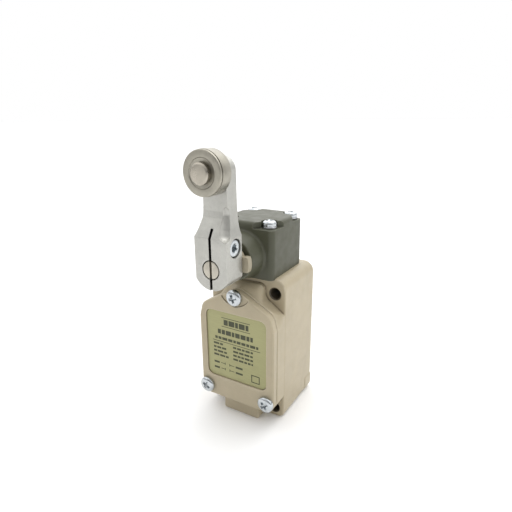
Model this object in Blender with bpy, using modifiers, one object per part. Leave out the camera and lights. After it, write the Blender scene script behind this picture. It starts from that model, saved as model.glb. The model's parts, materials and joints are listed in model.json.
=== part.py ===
"""Roller-lever limit switch: die-cast case, front cover, operating head, swinging lever and roller.

Frame: +X right, +Y towards the rear mounting face (y = 0), +Z up. The origin is the centre of the
rear mounting holes. All lengths below are in millimetres; a "depth" is a distance in front of the
rear mounting face, so y = -depth.
"""
import math

import bmesh
import bpy
from mathutils import Euler, Matrix, Vector

MM = 0.001
CLEARANCE = 0.3          # gap kept between touching pieces
OVERCUT = 1.0            # how far a cutter runs past the face it opens

# Case
CASE_HALF_WIDTH = 19.7
CASE_TOP = 36.3
CASE_BOTTOM = -34.0
FLANGE_DEPTH = 31.2      # front of the four mounting lands
CASE_DEPTH = 38.05       # sealing face for the cover
REAR_WALL = 5.0
CASE_TOP_RADIUS = 5.0
CASE_BOTTOM_RADIUS = 3.0
MOUNT_X = 14.6           # half of the 29.2 x 58.7 hole pattern
MOUNT_Z = 29.35
MOUNT_RADIUS = 2.6
LAND_RADIUS = 4.6
CONDUIT_BLOCK_HALF_WIDTH = 9.7
CONDUIT_BLOCK_DEPTH = 38.0
CONDUIT_RADIUS = 10.5
CONDUIT_DEPTH = 21.0
RAISED_HALF_WIDTH = CASE_HALF_WIDTH - 0.1
SHOULDER_TOP = 33.3      # flat top of the raised front, behind the cover
RAISED_BOTTOM = -25.3
RAISED_CORNER_RADIUS = 4.8

# Cover
COVER_REAR = CASE_DEPTH + CLEARANCE
COVER_DEPTH = 41.9
COVER_APEX = 32.4
COVER_EDGE_RADIUS = 0.9
COVER_WALL = 1.4
PLATE_RECESS_DEPTH = 0.9
PLATE_HALF_WIDTH = 15.95
PLATE_BOTTOM = -14.2
PLATE_TOP = 20.2
PLATE_THICKNESS = 0.4
COVER_SCREWS = {"top": (0.0, 28.4), "left": (-16.05, -20.2), "right": (16.05, -20.2)}

# Operating head
HEAD_HALF_WIDTH = 14.4
HEAD_FRONT = 33.2
HEAD_REAR = 4.0
HEAD_BOTTOM = CASE_TOP + CLEARANCE
HEAD_TOP = 61.0
HEAD_LEDGE = 58.2
HEAD_CORNER_RADIUS = 2.8
HEAD_TOP_RADIUS = 2.2
HEAD_NOTCH = 10.2        # leg of the corner cut that makes the screw ledge
HEAD_SCREW_X = 10.0
HEAD_SCREW_DEPTHS = (28.0, 7.2)
BOSS_BASE_RADIUS = 10.5
BOSS_TIP_RADIUS = 9.5
BOSS_DEPTH = 42.2
PLUNGER_DEPTH = 17.6     # axis of the operating plunger

# Lever and shaft
SHAFT_Z = 46.25
SHAFT_RADIUS = 4.0
SHAFT_REAR = 9.5
LEVER_BACK = 46.5
LEVER_FRONT = 58.0
ARM_FRONT = 53.5
BLOCK_HALF_WIDTH = 7.6
BLOCK_RADIUS = 8.8
BLOCK_TOP = 59.0
RAMP_TOP = 67.2
LEVER_RADIUS = 38.0
ARM_HALF_WIDTH = 5.5
SLIT_HALF_WIDTH = 0.45
SLIT_TOP = 63.0
BOLT_Z = SHAFT_Z + 8.3
BOLT_DEPTH = 51.3
BOLT_RADIUS = 2.0        # M4 socket-head clamp bolt
BOLT_HEAD_RADIUS = 3.5
BOLT_HEAD_HEIGHT = 4.6
BOLT_HEX_RADIUS = 1.75
BOLT_SEAT = 2.6          # x at which the counterbore starts
BOLT_TIP = -4.9
ROLLER_Z = SHAFT_Z + LEVER_RADIUS
ROLLER_RADIUS = 8.75
ROLLER_FRONT = 61.3
ROLLER_BACK = 54.3
ROLLER_PIN_RADIUS = 2.5
POSITION_PLATE_RADIUS = 10.5

# Cam and plunger: a spiral cam, so the plunger moves 1 mm for each radian of lever
CAM_RADIUS = 6.2
CAM_RISE_PER_RADIAN = 1.0
CAM_WORKING_ANGLE = 90.0
CAM_THICKNESS = 5.0
CAM_PIN_SHORT = 3.6
CAM_PIN_LONG = 5.9
PLUNGER_TOP = SHAFT_Z - CAM_RADIUS - CLEARANCE
PLUNGER_FLANGE = 38.6
PLUNGER_BOTTOM = 21.6
PLUNGER_RADIUS = 2.2
PLUNGER_BORE_RADIUS = 5.5
GUIDE_BOTTOM = 26.6
GUIDE_TOP = 31.0
CAVITY_TOP = 23.6

# Built-in switch
SWITCH_HALF_WIDTH = 12.5
SWITCH_FRONT = 24.0
SWITCH_BOTTOM = -12.0
SWITCH_TOP = 18.0
CHAMBER_HALF_WIDTH = 5.6
BRIDGE_Z = 3.0
TERMINAL_X = 9.6
TERMINAL_LEVELS = (8.2, -2.2)

# Sides of round pieces
SMALL = 12
COARSE = 16
ROUND = 28
FINE = 40


# ---------------------------------------------------------------- scene and materials
def clear_scene():
    for existing in list(bpy.data.objects):
        bpy.data.objects.remove(existing, do_unlink=True)


def collection(name):
    made = bpy.data.collections.new(name)
    bpy.context.scene.collection.children.link(made)
    return made


def material(name, color, roughness, metallic):
    made = bpy.data.materials.new(name)
    made.use_nodes = True
    shader = made.node_tree.nodes["Principled BSDF"]
    shader.inputs["Base Color"].default_value = (*color, 1.0)
    shader.inputs["Roughness"].default_value = roughness
    shader.inputs["Metallic"].default_value = metallic
    return made


clear_scene()
PARTS = collection("roller_lever_limit_switch")
CUTTERS = collection("cutters")
BEIGE_ENAMEL = material("beige_enamel", (0.52, 0.47, 0.38), 0.45, 0.0)
GREY_ENAMEL = material("grey_enamel", (0.14, 0.14, 0.11), 0.5, 0.0)
CAST_ALUMINIUM = material("cast_aluminium", (0.62, 0.62, 0.60), 0.45, 0.9)
STEEL = material("steel", (0.58, 0.57, 0.53), 0.35, 1.0)
ZINC = material("zinc_plate", (0.75, 0.77, 0.78), 0.25, 1.0)
SPRING_STEEL = material("spring_steel", (0.45, 0.46, 0.48), 0.3, 1.0)
BRASS = material("brass", (0.78, 0.62, 0.32), 0.3, 1.0)
CREAM_PLASTIC = material("cream_plastic", (0.75, 0.68, 0.54), 0.5, 0.0)
BLACK_PLASTIC = material("black_plastic", (0.03, 0.03, 0.03), 0.4, 0.0)
RED_PHENOLIC = material("red_phenolic", (0.25, 0.05, 0.03), 0.4, 0.0)
RUBBER = material("rubber", (0.02, 0.02, 0.02), 0.8, 0.0)
PLATE_OLIVE = material("plate_olive", (0.36, 0.37, 0.19), 0.35, 0.6)
FIBRE = material("fibre_sheet", (0.30, 0.24, 0.16), 0.8, 0.0)


# ---------------------------------------------------------------- building helpers
FACING = {"up": (0.0, 0.0, 0.0), "front": (math.pi / 2, 0.0, 0.0), "right": (0.0, math.pi / 2, 0.0)}


def place(obj, facing, x, depth, z):
    """Put an object's origin at x, -depth, z, with its local +Z turned up, to the front or right."""
    obj.rotation_euler = Euler(FACING[facing])
    obj.location = Vector((x, -depth, z)) * MM
    return obj


def add_object(name, data, finish, is_cutter=False):
    obj = bpy.data.objects.new(name, data)
    (CUTTERS if is_cutter else PARTS).objects.link(obj)
    if is_cutter:
        obj.hide_render = True
        obj.display_type = "WIRE"
    elif finish is not None:
        data.materials.append(finish)
    return obj


def smooth(data, angle=35.0):
    data.shade_smooth()
    data.set_sharp_from_angle(angle=math.radians(angle))


def mesh_from(bm, name):
    data = bpy.data.meshes.new(name)
    bmesh.ops.recalc_face_normals(bm, faces=bm.faces)
    bm.to_mesh(data)
    bm.free()
    smooth(data)
    return data


def block(name, x_range, depth_range, z_range, finish=None, cutter=False, bevel=0.0):
    """A box between two x values, two depths and two heights."""
    size = Vector((x_range[1] - x_range[0], depth_range[1] - depth_range[0], z_range[1] - z_range[0]))
    middle = Vector((sum(x_range) / 2, -sum(depth_range) / 2, sum(z_range) / 2))
    bm = bmesh.new()
    bmesh.ops.create_cube(bm, size=MM)
    bmesh.ops.scale(bm, vec=size, verts=bm.verts)
    if bevel:
        bmesh.ops.bevel(bm, geom=bm.edges, offset=bevel * MM, segments=2, affect="EDGES", profile=0.5)
    obj = add_object(name, mesh_from(bm, name), finish, cutter)
    obj.location = middle * MM
    return obj


def rod(name, facing, centre, start, end, radius, finish=None, cutter=False, segments=ROUND, tip=None):
    """A cylinder, or a cone when tip is given, along one direction.

    centre is (x, z) for front, (x, depth) for up and (depth, z) for right.
    """
    length = end - start
    bm = bmesh.new()
    bmesh.ops.create_cone(bm, cap_ends=True, segments=segments, radius1=radius * MM,
                          radius2=(radius if tip is None else tip) * MM, depth=length * MM)
    obj = add_object(name, mesh_from(bm, name), finish, cutter)
    middle = (start + end) / 2
    spot = {"front": (centre[0], middle, centre[1]),
            "up": (centre[0], centre[1], middle),
            "right": (middle, centre[0], centre[1])}[facing]
    return place(obj, facing, *spot)


def turned(name, facing, spot, profile, finish=None, cutter=False, segments=ROUND, closed=False):
    """A turned piece. profile lists (radius, distance) from the far end, down its outer side.

    A closed profile makes a ring, an open one starts and ends on the axis.
    """
    bm = bmesh.new()
    points = [bm.verts.new((radius * MM, 0.0, distance * MM)) for radius, distance in profile]
    for first, second in zip(points, points[1:]):
        bm.edges.new((first, second))
    if closed:
        bm.edges.new((points[-1], points[0]))
    data = bpy.data.meshes.new(name)
    bm.to_mesh(data)
    bm.free()
    obj = add_object(name, data, finish, cutter)
    screw = obj.modifiers.new("turn", "SCREW")
    screw.steps = segments
    screw.render_steps = segments
    screw.use_merge_vertices = True
    screw.merge_threshold = 0.00001
    screw.use_smooth_shade = True
    return place(obj, facing, *spot)


def sleeve(name, facing, spot, inner, outer, start, end, finish, segments=ROUND):
    """A plain bush or ring with a bore."""
    profile = [(inner, end), (outer, end), (outer, start), (inner, start)]
    return turned(name, facing, spot, profile, finish, segments=segments, closed=True)


def rounded(corners, steps=5):
    """Turn (x, y, radius) corners into outline points, each radius as an arc."""
    outline = []
    count = len(corners)
    for index, (x, y, radius) in enumerate(corners):
        corner = Vector((x, y))
        if radius <= 0:
            outline.append(corner)
            continue
        before = Vector(corners[index - 1][:2]) - corner
        after = Vector(corners[(index + 1) % count][:2]) - corner
        before.normalize()
        after.normalize()
        half = before.angle(after) / 2
        reach = radius / math.tan(half)
        centre = corner + (before + after).normalized() * (radius / math.sin(half))
        first = corner + before * reach - centre
        turn = first.angle_signed(corner + after * reach - centre)
        for step in range(steps + 1):
            spin = Matrix.Rotation(-turn * step / steps, 2)
            outline.append(centre + spin @ first)
    return outline


def arc(centre_x, centre_y, radius, start_degrees, end_degrees, steps):
    """Points along an arc, as corners without a radius."""
    points = []
    for step in range(steps + 1):
        angle = math.radians(start_degrees + (end_degrees - start_degrees) * step / steps)
        points.append((centre_x + radius * math.cos(angle), centre_y + radius * math.sin(angle), 0))
    return points


def plate(name, facing, outline, start, end, finish=None, cutter=False):
    """A flat outline drawn out along one direction, made as a filled curve and turned into a mesh.

    front: outline is (x, z); up: outline is (x, -depth); right: outline is (-z, -depth).
    """
    curve = bpy.data.curves.new(name, "CURVE")
    curve.dimensions = "2D"
    curve.fill_mode = "BOTH"
    curve.extrude = (end - start) / 2 * MM
    spline = curve.splines.new("POLY")
    spline.points.add(len(outline) - 1)
    for point, (x, y) in zip(spline.points, outline):
        point.co = (x * MM, y * MM, 0.0, 1.0)
    spline.use_cyclic_u = True
    source = bpy.data.objects.new(name + "_outline", curve)
    bpy.context.scene.collection.objects.link(source)
    middle = (start + end) / 2
    spot = {"front": (0, middle, 0), "up": (0, 0, middle), "right": (middle, 0, 0)}[facing]
    place(source, facing, *spot)
    graph = bpy.context.evaluated_depsgraph_get()
    data = bpy.data.meshes.new_from_object(source.evaluated_get(graph))
    bm = bmesh.new()
    bm.from_mesh(data)
    bmesh.ops.remove_doubles(bm, verts=bm.verts, dist=0.000001)
    bmesh.ops.recalc_face_normals(bm, faces=bm.faces)
    bm.to_mesh(data)
    bm.free()
    data.name = name
    smooth(data)
    obj = add_object(name, data, finish, cutter)
    obj.matrix_world = source.matrix_world
    bpy.data.objects.remove(source, do_unlink=True)
    return obj


def loft(name, rings, finish=None, cutter=False):
    """A solid through outlines of equal length; rings lists (depth, outline)."""
    bm = bmesh.new()
    rows = [[bm.verts.new((x * MM, -depth * MM, z * MM)) for x, z in outline] for depth, outline in rings]
    for low, high in zip(rows, rows[1:]):
        for index in range(len(low)):
            after = (index + 1) % len(low)
            bm.faces.new((low[index], low[after], high[after], high[index]))
    bm.faces.new(rows[0])
    bm.faces.new(rows[-1])
    return add_object(name, mesh_from(bm, name), finish, cutter)


def combine(target, tool, operation="DIFFERENCE"):
    """Cut a tool from an object, or join the tool to it."""
    modifier = target.modifiers.new(operation.lower() + "_" + tool.name, "BOOLEAN")
    modifier.operation = operation
    modifier.object = tool
    modifier.solver = "EXACT"
    return target


def cut(target, *tools):
    for tool in tools:
        combine(target, tool)
    return target


def join(target, *tools):
    for tool in tools:
        combine(target, tool, "UNION")
    return target


def helix(name, x, depth, low, high, radius, wire, turns, finish):
    """A compression spring with flat-lying end turns, as a tube along a computed coil."""
    curve = bpy.data.curves.new(name, "CURVE")
    curve.dimensions = "3D"
    curve.bevel_depth = wire * MM
    curve.bevel_resolution = 2
    curve.use_fill_caps = True
    curve.render_resolution_u = 0
    per_turn = 10
    count = int(turns * per_turn)
    spline = curve.splines.new("POLY")
    spline.points.add(count)
    for index, point in enumerate(spline.points):
        share = index / count
        ease = share - math.sin(2 * math.pi * share) / (2 * math.pi) * 0.9
        angle = 2 * math.pi * turns * share
        height = low + wire + (high - low - 2 * wire) * ease
        point.co = (radius * math.cos(angle) * MM, radius * math.sin(angle) * MM, height * MM, 1.0)
    obj = add_object(name, curve, finish)
    obj.location = (x * MM, -depth * MM, 0.0)
    return obj


def pan_screw(name, facing, spot, shank_radius, length, head_radius, head_height, finish=ZINC):
    """A cross-recessed pan-head screw. Its head's underside is at the spot, its shank runs behind."""
    profile = [(0.0, head_height), (head_radius * 0.6, head_height * 0.94),
               (head_radius * 0.9, head_height * 0.7), (head_radius, head_height * 0.4), (head_radius, 0.0),
               (shank_radius, 0.0), (shank_radius, -length), (0.0, -length)]
    screw = turned(name, facing, spot, profile, finish, segments=SMALL)
    recess_depth = head_height * 0.6
    for turn in (0.0, math.pi / 2):
        arm = block(name + "_recess_%d" % round(turn), (-0.42, 0.42),
                    (-head_radius * 0.55, head_radius * 0.55), (head_height - recess_depth, head_height + 1),
                    cutter=True)
        local = Matrix.Rotation(turn, 4, "Z") @ arm.matrix_basis
        place(screw, facing, *spot)
        arm.matrix_world = screw.matrix_basis @ local
        cut(screw, arm)
    return screw


# ---------------------------------------------------------------- outlines
def resample(points, count):
    """The same path with a given number of evenly spaced points."""
    lengths = [0.0]
    for first, second in zip(points, points[1:]):
        lengths.append(lengths[-1] + (second - first).length)
    spaced = []
    for step in range(count):
        target = lengths[-1] * step / (count - 1)
        index = max(i for i, reach in enumerate(lengths) if reach <= target + 1e-9)
        index = min(index, len(points) - 2)
        span = lengths[index + 1] - lengths[index]
        share = (target - lengths[index]) / span
        spaced.append(points[index].lerp(points[index + 1], share))
    return spaced


def half_path(corners, steps=5):
    """The rounded open path through corners whose two ends stay sharp."""
    return rounded([(x, y, 0 if index in (0, len(corners) - 1) else radius)
                    for index, (x, y, radius) in enumerate(corners)], steps)


def raised_outline(top_half):
    """The closed outline of the raised front, from the path of its right-hand shoulder."""
    corner_centre = (RAISED_HALF_WIDTH - RAISED_CORNER_RADIUS, RAISED_BOTTOM + RAISED_CORNER_RADIUS)
    foot = [Vector(point[:2]) for point in arc(*corner_centre, RAISED_CORNER_RADIUS, 0, -90, 6)]
    right = top_half + foot
    left = [Vector((-point.x, point.y)) for point in reversed(right) if point.x > 1e-6]
    return right + left


def cover_shoulder():
    """Straight slope from the rounded apex to the side, as seen at the sealing face."""
    return resample(half_path([(0.0, COVER_APEX - 0.6, 0), (1.6, COVER_APEX - 0.9, 2.0),
                               (17.9, 22.6, 5.0), (RAISED_HALF_WIDTH, 16.0, 0)]), 15)


def flange_shoulder():
    """Flat top, then a hollow round the mounting hole, as seen at the mounting lands."""
    hollow = arc(MOUNT_X, MOUNT_Z, LAND_RADIUS, 172, 244, 7)
    corners = [(0.0, SHOULDER_TOP, 0), (9.4, SHOULDER_TOP, 2.2)] + hollow
    corners += [(RAISED_HALF_WIDTH, 20.2, 0), (RAISED_HALF_WIDTH, 16.0, 0)]
    return resample(half_path(corners), 15)


COVER_OUTLINE = raised_outline(cover_shoulder())
FLANGE_OUTLINE = raised_outline(flange_shoulder())


def inset_outline(outline, distance):
    """The outline moved inwards along its own corner bisectors; it runs clockwise."""
    moved = []
    count = len(outline)
    for index, point in enumerate(outline):
        before = (point - outline[index - 1]).normalized()
        after = (outline[(index + 1) % count] - point).normalized()
        normal_before = Vector((before.y, -before.x))
        normal_after = Vector((after.y, -after.x))
        bisector = (normal_before + normal_after).normalized()
        stretch = 1.0 / max(0.4, bisector.dot(normal_after))
        moved.append(point + bisector * distance * stretch)
    return moved


# ---------------------------------------------------------------- case and cover
def make_case():
    box = rounded([(-CASE_HALF_WIDTH, CASE_BOTTOM, CASE_BOTTOM_RADIUS),
                   (CASE_HALF_WIDTH, CASE_BOTTOM, CASE_BOTTOM_RADIUS),
                   (CASE_HALF_WIDTH, CASE_TOP, CASE_TOP_RADIUS),
                   (-CASE_HALF_WIDTH, CASE_TOP, CASE_TOP_RADIUS)])
    case = plate("case", "front", box, 0.0, FLANGE_DEPTH, BEIGE_ENAMEL)
    raised = loft("case_raised_front", [(FLANGE_DEPTH - 2, FLANGE_OUTLINE), (FLANGE_DEPTH, FLANGE_OUTLINE),
                                        (CASE_DEPTH - 1.2, COVER_OUTLINE), (CASE_DEPTH, COVER_OUTLINE)],
                  cutter=True)
    conduit_block = block("case_conduit_block", (-CONDUIT_BLOCK_HALF_WIDTH, CONDUIT_BLOCK_HALF_WIDTH),
                          (FLANGE_DEPTH - 4, CONDUIT_BLOCK_DEPTH),
                          (CASE_BOTTOM + 0.02, RAISED_BOTTOM + 1), cutter=True)
    join(case, raised, conduit_block)
    make_case_cavity(case)
    return case


def make_case_cavity(case):
    """Switch chamber, conduit entry, plunger bore and screw holes."""
    chamber = rounded([(-15.6, CAVITY_TOP, 2), (15.6, CAVITY_TOP, 2), (15.6, -13.0, 1), (11.4, -17.0, 1),
                       (11.4, -21.6, 1), (-11.4, -21.6, 1), (-11.4, -17.0, 1), (-15.6, -13.0, 1)], 3)
    cut(case, plate("case_chamber", "front", chamber, REAR_WALL, CASE_DEPTH + OVERCUT, cutter=True))
    cut(case, rod("case_conduit", "up", (0, CONDUIT_DEPTH), CASE_BOTTOM - OVERCUT, -20.0, CONDUIT_RADIUS,
                  cutter=True))
    cut(case, rod("case_plunger_bore", "up", (0, PLUNGER_DEPTH), CAVITY_TOP - OVERCUT, CASE_TOP + OVERCUT,
                  PLUNGER_BORE_RADIUS, cutter=True))
    for side_x in (-1, 1):
        for side_z in (-1, 1):
            cut(case, rod("case_mount_hole", "front", (side_x * MOUNT_X, side_z * MOUNT_Z), -OVERCUT,
                          FLANGE_DEPTH + OVERCUT, MOUNT_RADIUS, cutter=True, segments=24))
    for x, z in COVER_SCREWS.values():
        cut(case, rod("case_cover_hole", "front", (x, z), CASE_DEPTH - 8.5, CASE_DEPTH + OVERCUT, 2.3,
                      cutter=True, segments=COARSE))
    for side_x in (-1, 1):
        for depth in HEAD_SCREW_DEPTHS:
            cut(case, rod("case_head_hole", "up", (side_x * HEAD_SCREW_X, depth), 30.4, CASE_TOP + OVERCUT,
                          1.8, cutter=True, segments=COARSE))
    for x, z in SWITCH_SCREWS + [GROUND_SCREW]:
        cut(case, rod("case_switch_hole", "front", (x, z), 1.5, REAR_WALL + OVERCUT, 1.6, cutter=True,
                      segments=COARSE))


def make_cover():
    rings = [(COVER_REAR, COVER_OUTLINE), (COVER_DEPTH - COVER_EDGE_RADIUS, COVER_OUTLINE),
             (COVER_DEPTH - 0.25, inset_outline(COVER_OUTLINE, COVER_EDGE_RADIUS * 0.55)),
             (COVER_DEPTH, inset_outline(COVER_OUTLINE, COVER_EDGE_RADIUS))]
    cover = loft("cover", rings, BEIGE_ENAMEL)
    recess = rounded([(-PLATE_HALF_WIDTH, PLATE_BOTTOM, 3), (PLATE_HALF_WIDTH, PLATE_BOTTOM, 3),
                      (PLATE_HALF_WIDTH, PLATE_TOP, 3), (-PLATE_HALF_WIDTH, PLATE_TOP, 3)], 4)
    cut(cover, plate("cover_plate_recess", "front", recess, COVER_DEPTH - PLATE_RECESS_DEPTH,
                     COVER_DEPTH + OVERCUT, cutter=True))
    cut(cover, plate("cover_hollow", "front", gasket_outline(2.2), COVER_REAR - OVERCUT,
                     COVER_DEPTH - PLATE_RECESS_DEPTH - COVER_WALL, cutter=True))
    groove_depth = COVER_REAR + 1.2
    groove = plate("cover_gasket_groove", "front", gasket_outline(-0.3), COVER_REAR - OVERCUT, groove_depth,
                   cutter=True)
    cut(cover, groove)
    for name, (x, z) in COVER_SCREWS.items():
        cut(cover, rod("cover_hole_" + name, "front", (x, z), COVER_REAR - OVERCUT, COVER_DEPTH + OVERCUT,
                       2.4, cutter=True, segments=COARSE))
    pocket = [Vector(point[:2]) for point in arc(0.0, 28.4, 4.6, 90, 450, 24)][:-1]
    cut(cover, plate("cover_top_pocket", "front", pocket, COVER_DEPTH - 0.6, COVER_DEPTH + OVERCUT,
                     cutter=True))
    return cover


def gasket_outline(inset):
    """The chamber's rim outline between the cover screws, moved inwards by an inset."""
    edge = 16.9 - inset
    top = 24.9 - inset
    low = -14.2 + inset * 0.4
    inner = 12.6 - inset
    bottom = -22.9 + inset
    return rounded([(-edge, top, 2), (edge, top, 2), (edge, low, 1), (inner, low - 4.0, 1),
                    (inner, bottom, 1), (-inner, bottom, 1), (-inner, low - 4.0, 1), (-edge, low, 1)], 3)


def make_cover_gasket():
    gasket = plate("cover_gasket", "front", gasket_outline(0.0), COVER_REAR, COVER_REAR + 0.9, RUBBER)
    cut(gasket, plate("cover_gasket_window", "front", gasket_outline(1.3), COVER_REAR - OVERCUT,
                      COVER_REAR + 2, cutter=True))
    return gasket


def make_name_plate():
    half = PLATE_HALF_WIDTH - CLEARANCE
    low = PLATE_BOTTOM + CLEARANCE
    high = PLATE_TOP - CLEARANCE
    outline = rounded([(-half, low, 2.7), (half, low, 2.7), (half, high, 2.7), (-half, high, 2.7)], 4)
    back = COVER_DEPTH - PLATE_RECESS_DEPTH + CLEARANCE
    return plate("name_plate", "front", outline, back, back + PLATE_THICKNESS, PLATE_OLIVE)


def make_cover_insulator():
    outline = rounded([(-13.6, -11.0, 1.5), (13.6, -11.0, 1.5), (13.6, 21.6, 1.5), (-13.6, 21.6, 1.5)], 3)
    return plate("cover_insulator", "front", outline, COVER_REAR + 0.3, COVER_REAR + 0.8, FIBRE)


def make_cover_screws():
    for name, (x, z) in COVER_SCREWS.items():
        seat = COVER_DEPTH - 0.6 if name == "top" else COVER_DEPTH
        pan_screw("cover_screw_" + name, "front", (x, seat + CLEARANCE, z), 2.0, 10.5, 3.8, 2.0)


# ---------------------------------------------------------------- operating head
def make_head():
    outline = rounded([(-HEAD_HALF_WIDTH, -HEAD_FRONT, HEAD_CORNER_RADIUS),
                       (HEAD_HALF_WIDTH, -HEAD_FRONT, HEAD_CORNER_RADIUS),
                       (HEAD_HALF_WIDTH, -HEAD_REAR, HEAD_CORNER_RADIUS),
                       (-HEAD_HALF_WIDTH, -HEAD_REAR, HEAD_CORNER_RADIUS)], 4)
    head = plate("head_housing", "up", outline, HEAD_BOTTOM, HEAD_TOP, GREY_ENAMEL)
    round_top_edges(head.data, HEAD_TOP_RADIUS)
    boss = rod("head_boss", "front", (0, SHAFT_Z), HEAD_FRONT - 1.5, BOSS_DEPTH,
               BOSS_BASE_RADIUS, cutter=True, segments=FINE, tip=BOSS_TIP_RADIUS)
    join(head, boss)
    middle = (HEAD_FRONT + HEAD_REAR) / 2
    for side_x in (-1, 1):
        for depth in HEAD_SCREW_DEPTHS:
            edge_depth = HEAD_FRONT + OVERCUT if depth > middle else HEAD_REAR - OVERCUT
            inward = -1 if depth > middle else 1
            corner_x = side_x * (HEAD_HALF_WIDTH + OVERCUT)
            reach = HEAD_NOTCH + 2 * OVERCUT
            wedge = [Vector((corner_x, -edge_depth)), Vector((corner_x - side_x * reach, -edge_depth)),
                     Vector((corner_x, -(edge_depth + inward * reach)))]
            x = side_x * HEAD_SCREW_X
            cut(head, plate("head_notch", "up", wedge, HEAD_LEDGE, HEAD_TOP + OVERCUT, cutter=True),
                rod("head_spot_face", "up", (x, depth), HEAD_LEDGE + 0.01, HEAD_TOP + OVERCUT, 3.7,
                    cutter=True, segments=24),
                rod("head_screw_hole", "up", (x, depth), HEAD_BOTTOM - OVERCUT, HEAD_TOP, 1.8, cutter=True,
                    segments=COARSE))
    make_head_cavity(head)
    return head


def round_top_edges(data, radius):
    """Round the edges at the highest level of a mesh."""
    bm = bmesh.new()
    bm.from_mesh(data)
    top = max(vertex.co.z for vertex in bm.verts)
    edges = [edge for edge in bm.edges
             if all(abs(vertex.co.z - top) < 1e-7 for vertex in edge.verts) and len(edge.link_faces) == 2
             and any(abs(face.normal.z) < 0.5 for face in edge.link_faces)]
    bmesh.ops.bevel(bm, geom=edges, offset=radius * MM, segments=3, affect="EDGES", profile=0.5)
    bm.to_mesh(data)
    bm.free()
    smooth(data)


def make_head_cavity(head):
    cut(head, rod("head_bush_bore", "front", (0, SHAFT_Z), 24.0, BOSS_DEPTH + OVERCUT, 6.3, cutter=True),
        rod("head_cam_room", "front", (0, SHAFT_Z), 12.6, 24.5, 8.2, cutter=True),
        rod("head_rear_bearing", "front", (0, SHAFT_Z), SHAFT_REAR - 0.5, 14.0, SHAFT_RADIUS + CLEARANCE,
            cutter=True, segments=24),
        block("head_plunger_room", (-5.6, 5.6), (11.9, 23.2), (HEAD_BOTTOM - OVERCUT, SHAFT_Z), cutter=True),
        turned("head_gasket_groove", "up", (0, PLUNGER_DEPTH, 0),
               [(7.1, HEAD_BOTTOM + 1.2), (10.0, HEAD_BOTTOM + 1.2), (10.0, HEAD_BOTTOM - OVERCUT),
                (7.1, HEAD_BOTTOM - OVERCUT)], cutter=True, closed=True))


def make_head_gasket():
    sleeve("head_gasket", "up", (0, PLUNGER_DEPTH, 0), 7.4, 9.7, HEAD_BOTTOM, HEAD_BOTTOM + 0.9, RUBBER)


def make_head_screws():
    number = 0
    for depth in HEAD_SCREW_DEPTHS:
        for side_x in (-1, 1):
            number += 1
            x = side_x * HEAD_SCREW_X
            sleeve("lock_washer_%d" % number, "up", (x, depth, 0), 1.85, 3.1, HEAD_LEDGE + CLEARANCE,
                   HEAD_LEDGE + CLEARANCE + 0.7, SPRING_STEEL, segments=COARSE)
            pan_screw("head_screw_%d" % number, "up", (x, depth, HEAD_LEDGE + 2 * CLEARANCE + 0.7), 1.5,
                      28.2, 3.0, 2.1)


def make_shaft_supports():
    sleeve("shaft_bush", "front", (0, 0, SHAFT_Z), SHAFT_RADIUS + CLEARANCE, 6.0, 26.4, 38.9, BRASS)
    lip = [(4.3, 41.7), (6.0, 41.7), (6.0, 39.4), (5.2, 39.4), (4.9, 40.6), (4.3, 41.0)]
    turned("shaft_seal", "front", (0, 0, SHAFT_Z), lip, RUBBER, closed=True)


# ---------------------------------------------------------------- plunger
def make_plunger():
    dome = [(0.0, PLUNGER_TOP), (1.2, PLUNGER_TOP - 0.08), (2.2, PLUNGER_TOP - 0.3), (2.6, PLUNGER_TOP - 0.5)]
    body = [(4.5, PLUNGER_TOP - 0.5), (4.5, PLUNGER_FLANGE), (PLUNGER_RADIUS, PLUNGER_FLANGE),
            (PLUNGER_RADIUS, PLUNGER_BOTTOM + 0.4), (PLUNGER_RADIUS - 0.4, PLUNGER_BOTTOM),
            (0.0, PLUNGER_BOTTOM)]
    turned("plunger", "up", (0, PLUNGER_DEPTH, 0), dome + body, STEEL, segments=24)


def make_plunger_supports():
    spot = (0, PLUNGER_DEPTH, 0)
    sleeve("plunger_guide", "up", spot, PLUNGER_RADIUS + CLEARANCE, PLUNGER_BORE_RADIUS - CLEARANCE,
           GUIDE_BOTTOM, GUIDE_TOP, BRASS, segments=24)
    lip = [(2.5, GUIDE_BOTTOM - 0.3), (5.2, GUIDE_BOTTOM - 0.3), (5.2, GUIDE_BOTTOM - 2.3),
           (4.2, GUIDE_BOTTOM - 2.3), (4.0, GUIDE_BOTTOM - 1.1), (2.5, GUIDE_BOTTOM - 1.4)]
    turned("plunger_seal", "up", spot, lip, RUBBER, segments=24, closed=True)
    helix("return_spring", 0, PLUNGER_DEPTH, GUIDE_TOP + CLEARANCE, PLUNGER_FLANGE - CLEARANCE, 3.6, 0.4, 4.5,
          SPRING_STEEL)


# ---------------------------------------------------------------- lever, shaft and roller
def make_shaft():
    profile = [(0.0, LEVER_FRONT), (SHAFT_RADIUS - 0.4, LEVER_FRONT), (SHAFT_RADIUS, LEVER_FRONT - 0.4),
               (SHAFT_RADIUS, 25.9), (3.3, 25.9), (3.3, 24.7), (SHAFT_RADIUS, 24.7),
               (SHAFT_RADIUS, SHAFT_REAR + 0.4), (SHAFT_RADIUS - 0.4, SHAFT_REAR), (0.0, SHAFT_REAR)]
    shaft = turned("shaft", "front", (0, 0, SHAFT_Z), profile, STEEL)
    cut(shaft, block("shaft_slot", (-0.45, 0.45), (LEVER_FRONT - 1.2, LEVER_FRONT + OVERCUT),
                     (SHAFT_Z - 5, SHAFT_Z + 5), cutter=True),
        rod("shaft_pin_hole", "right", (PLUNGER_DEPTH, SHAFT_Z), -5, 5, 1.3, cutter=True, segments=COARSE))
    return shaft


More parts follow.
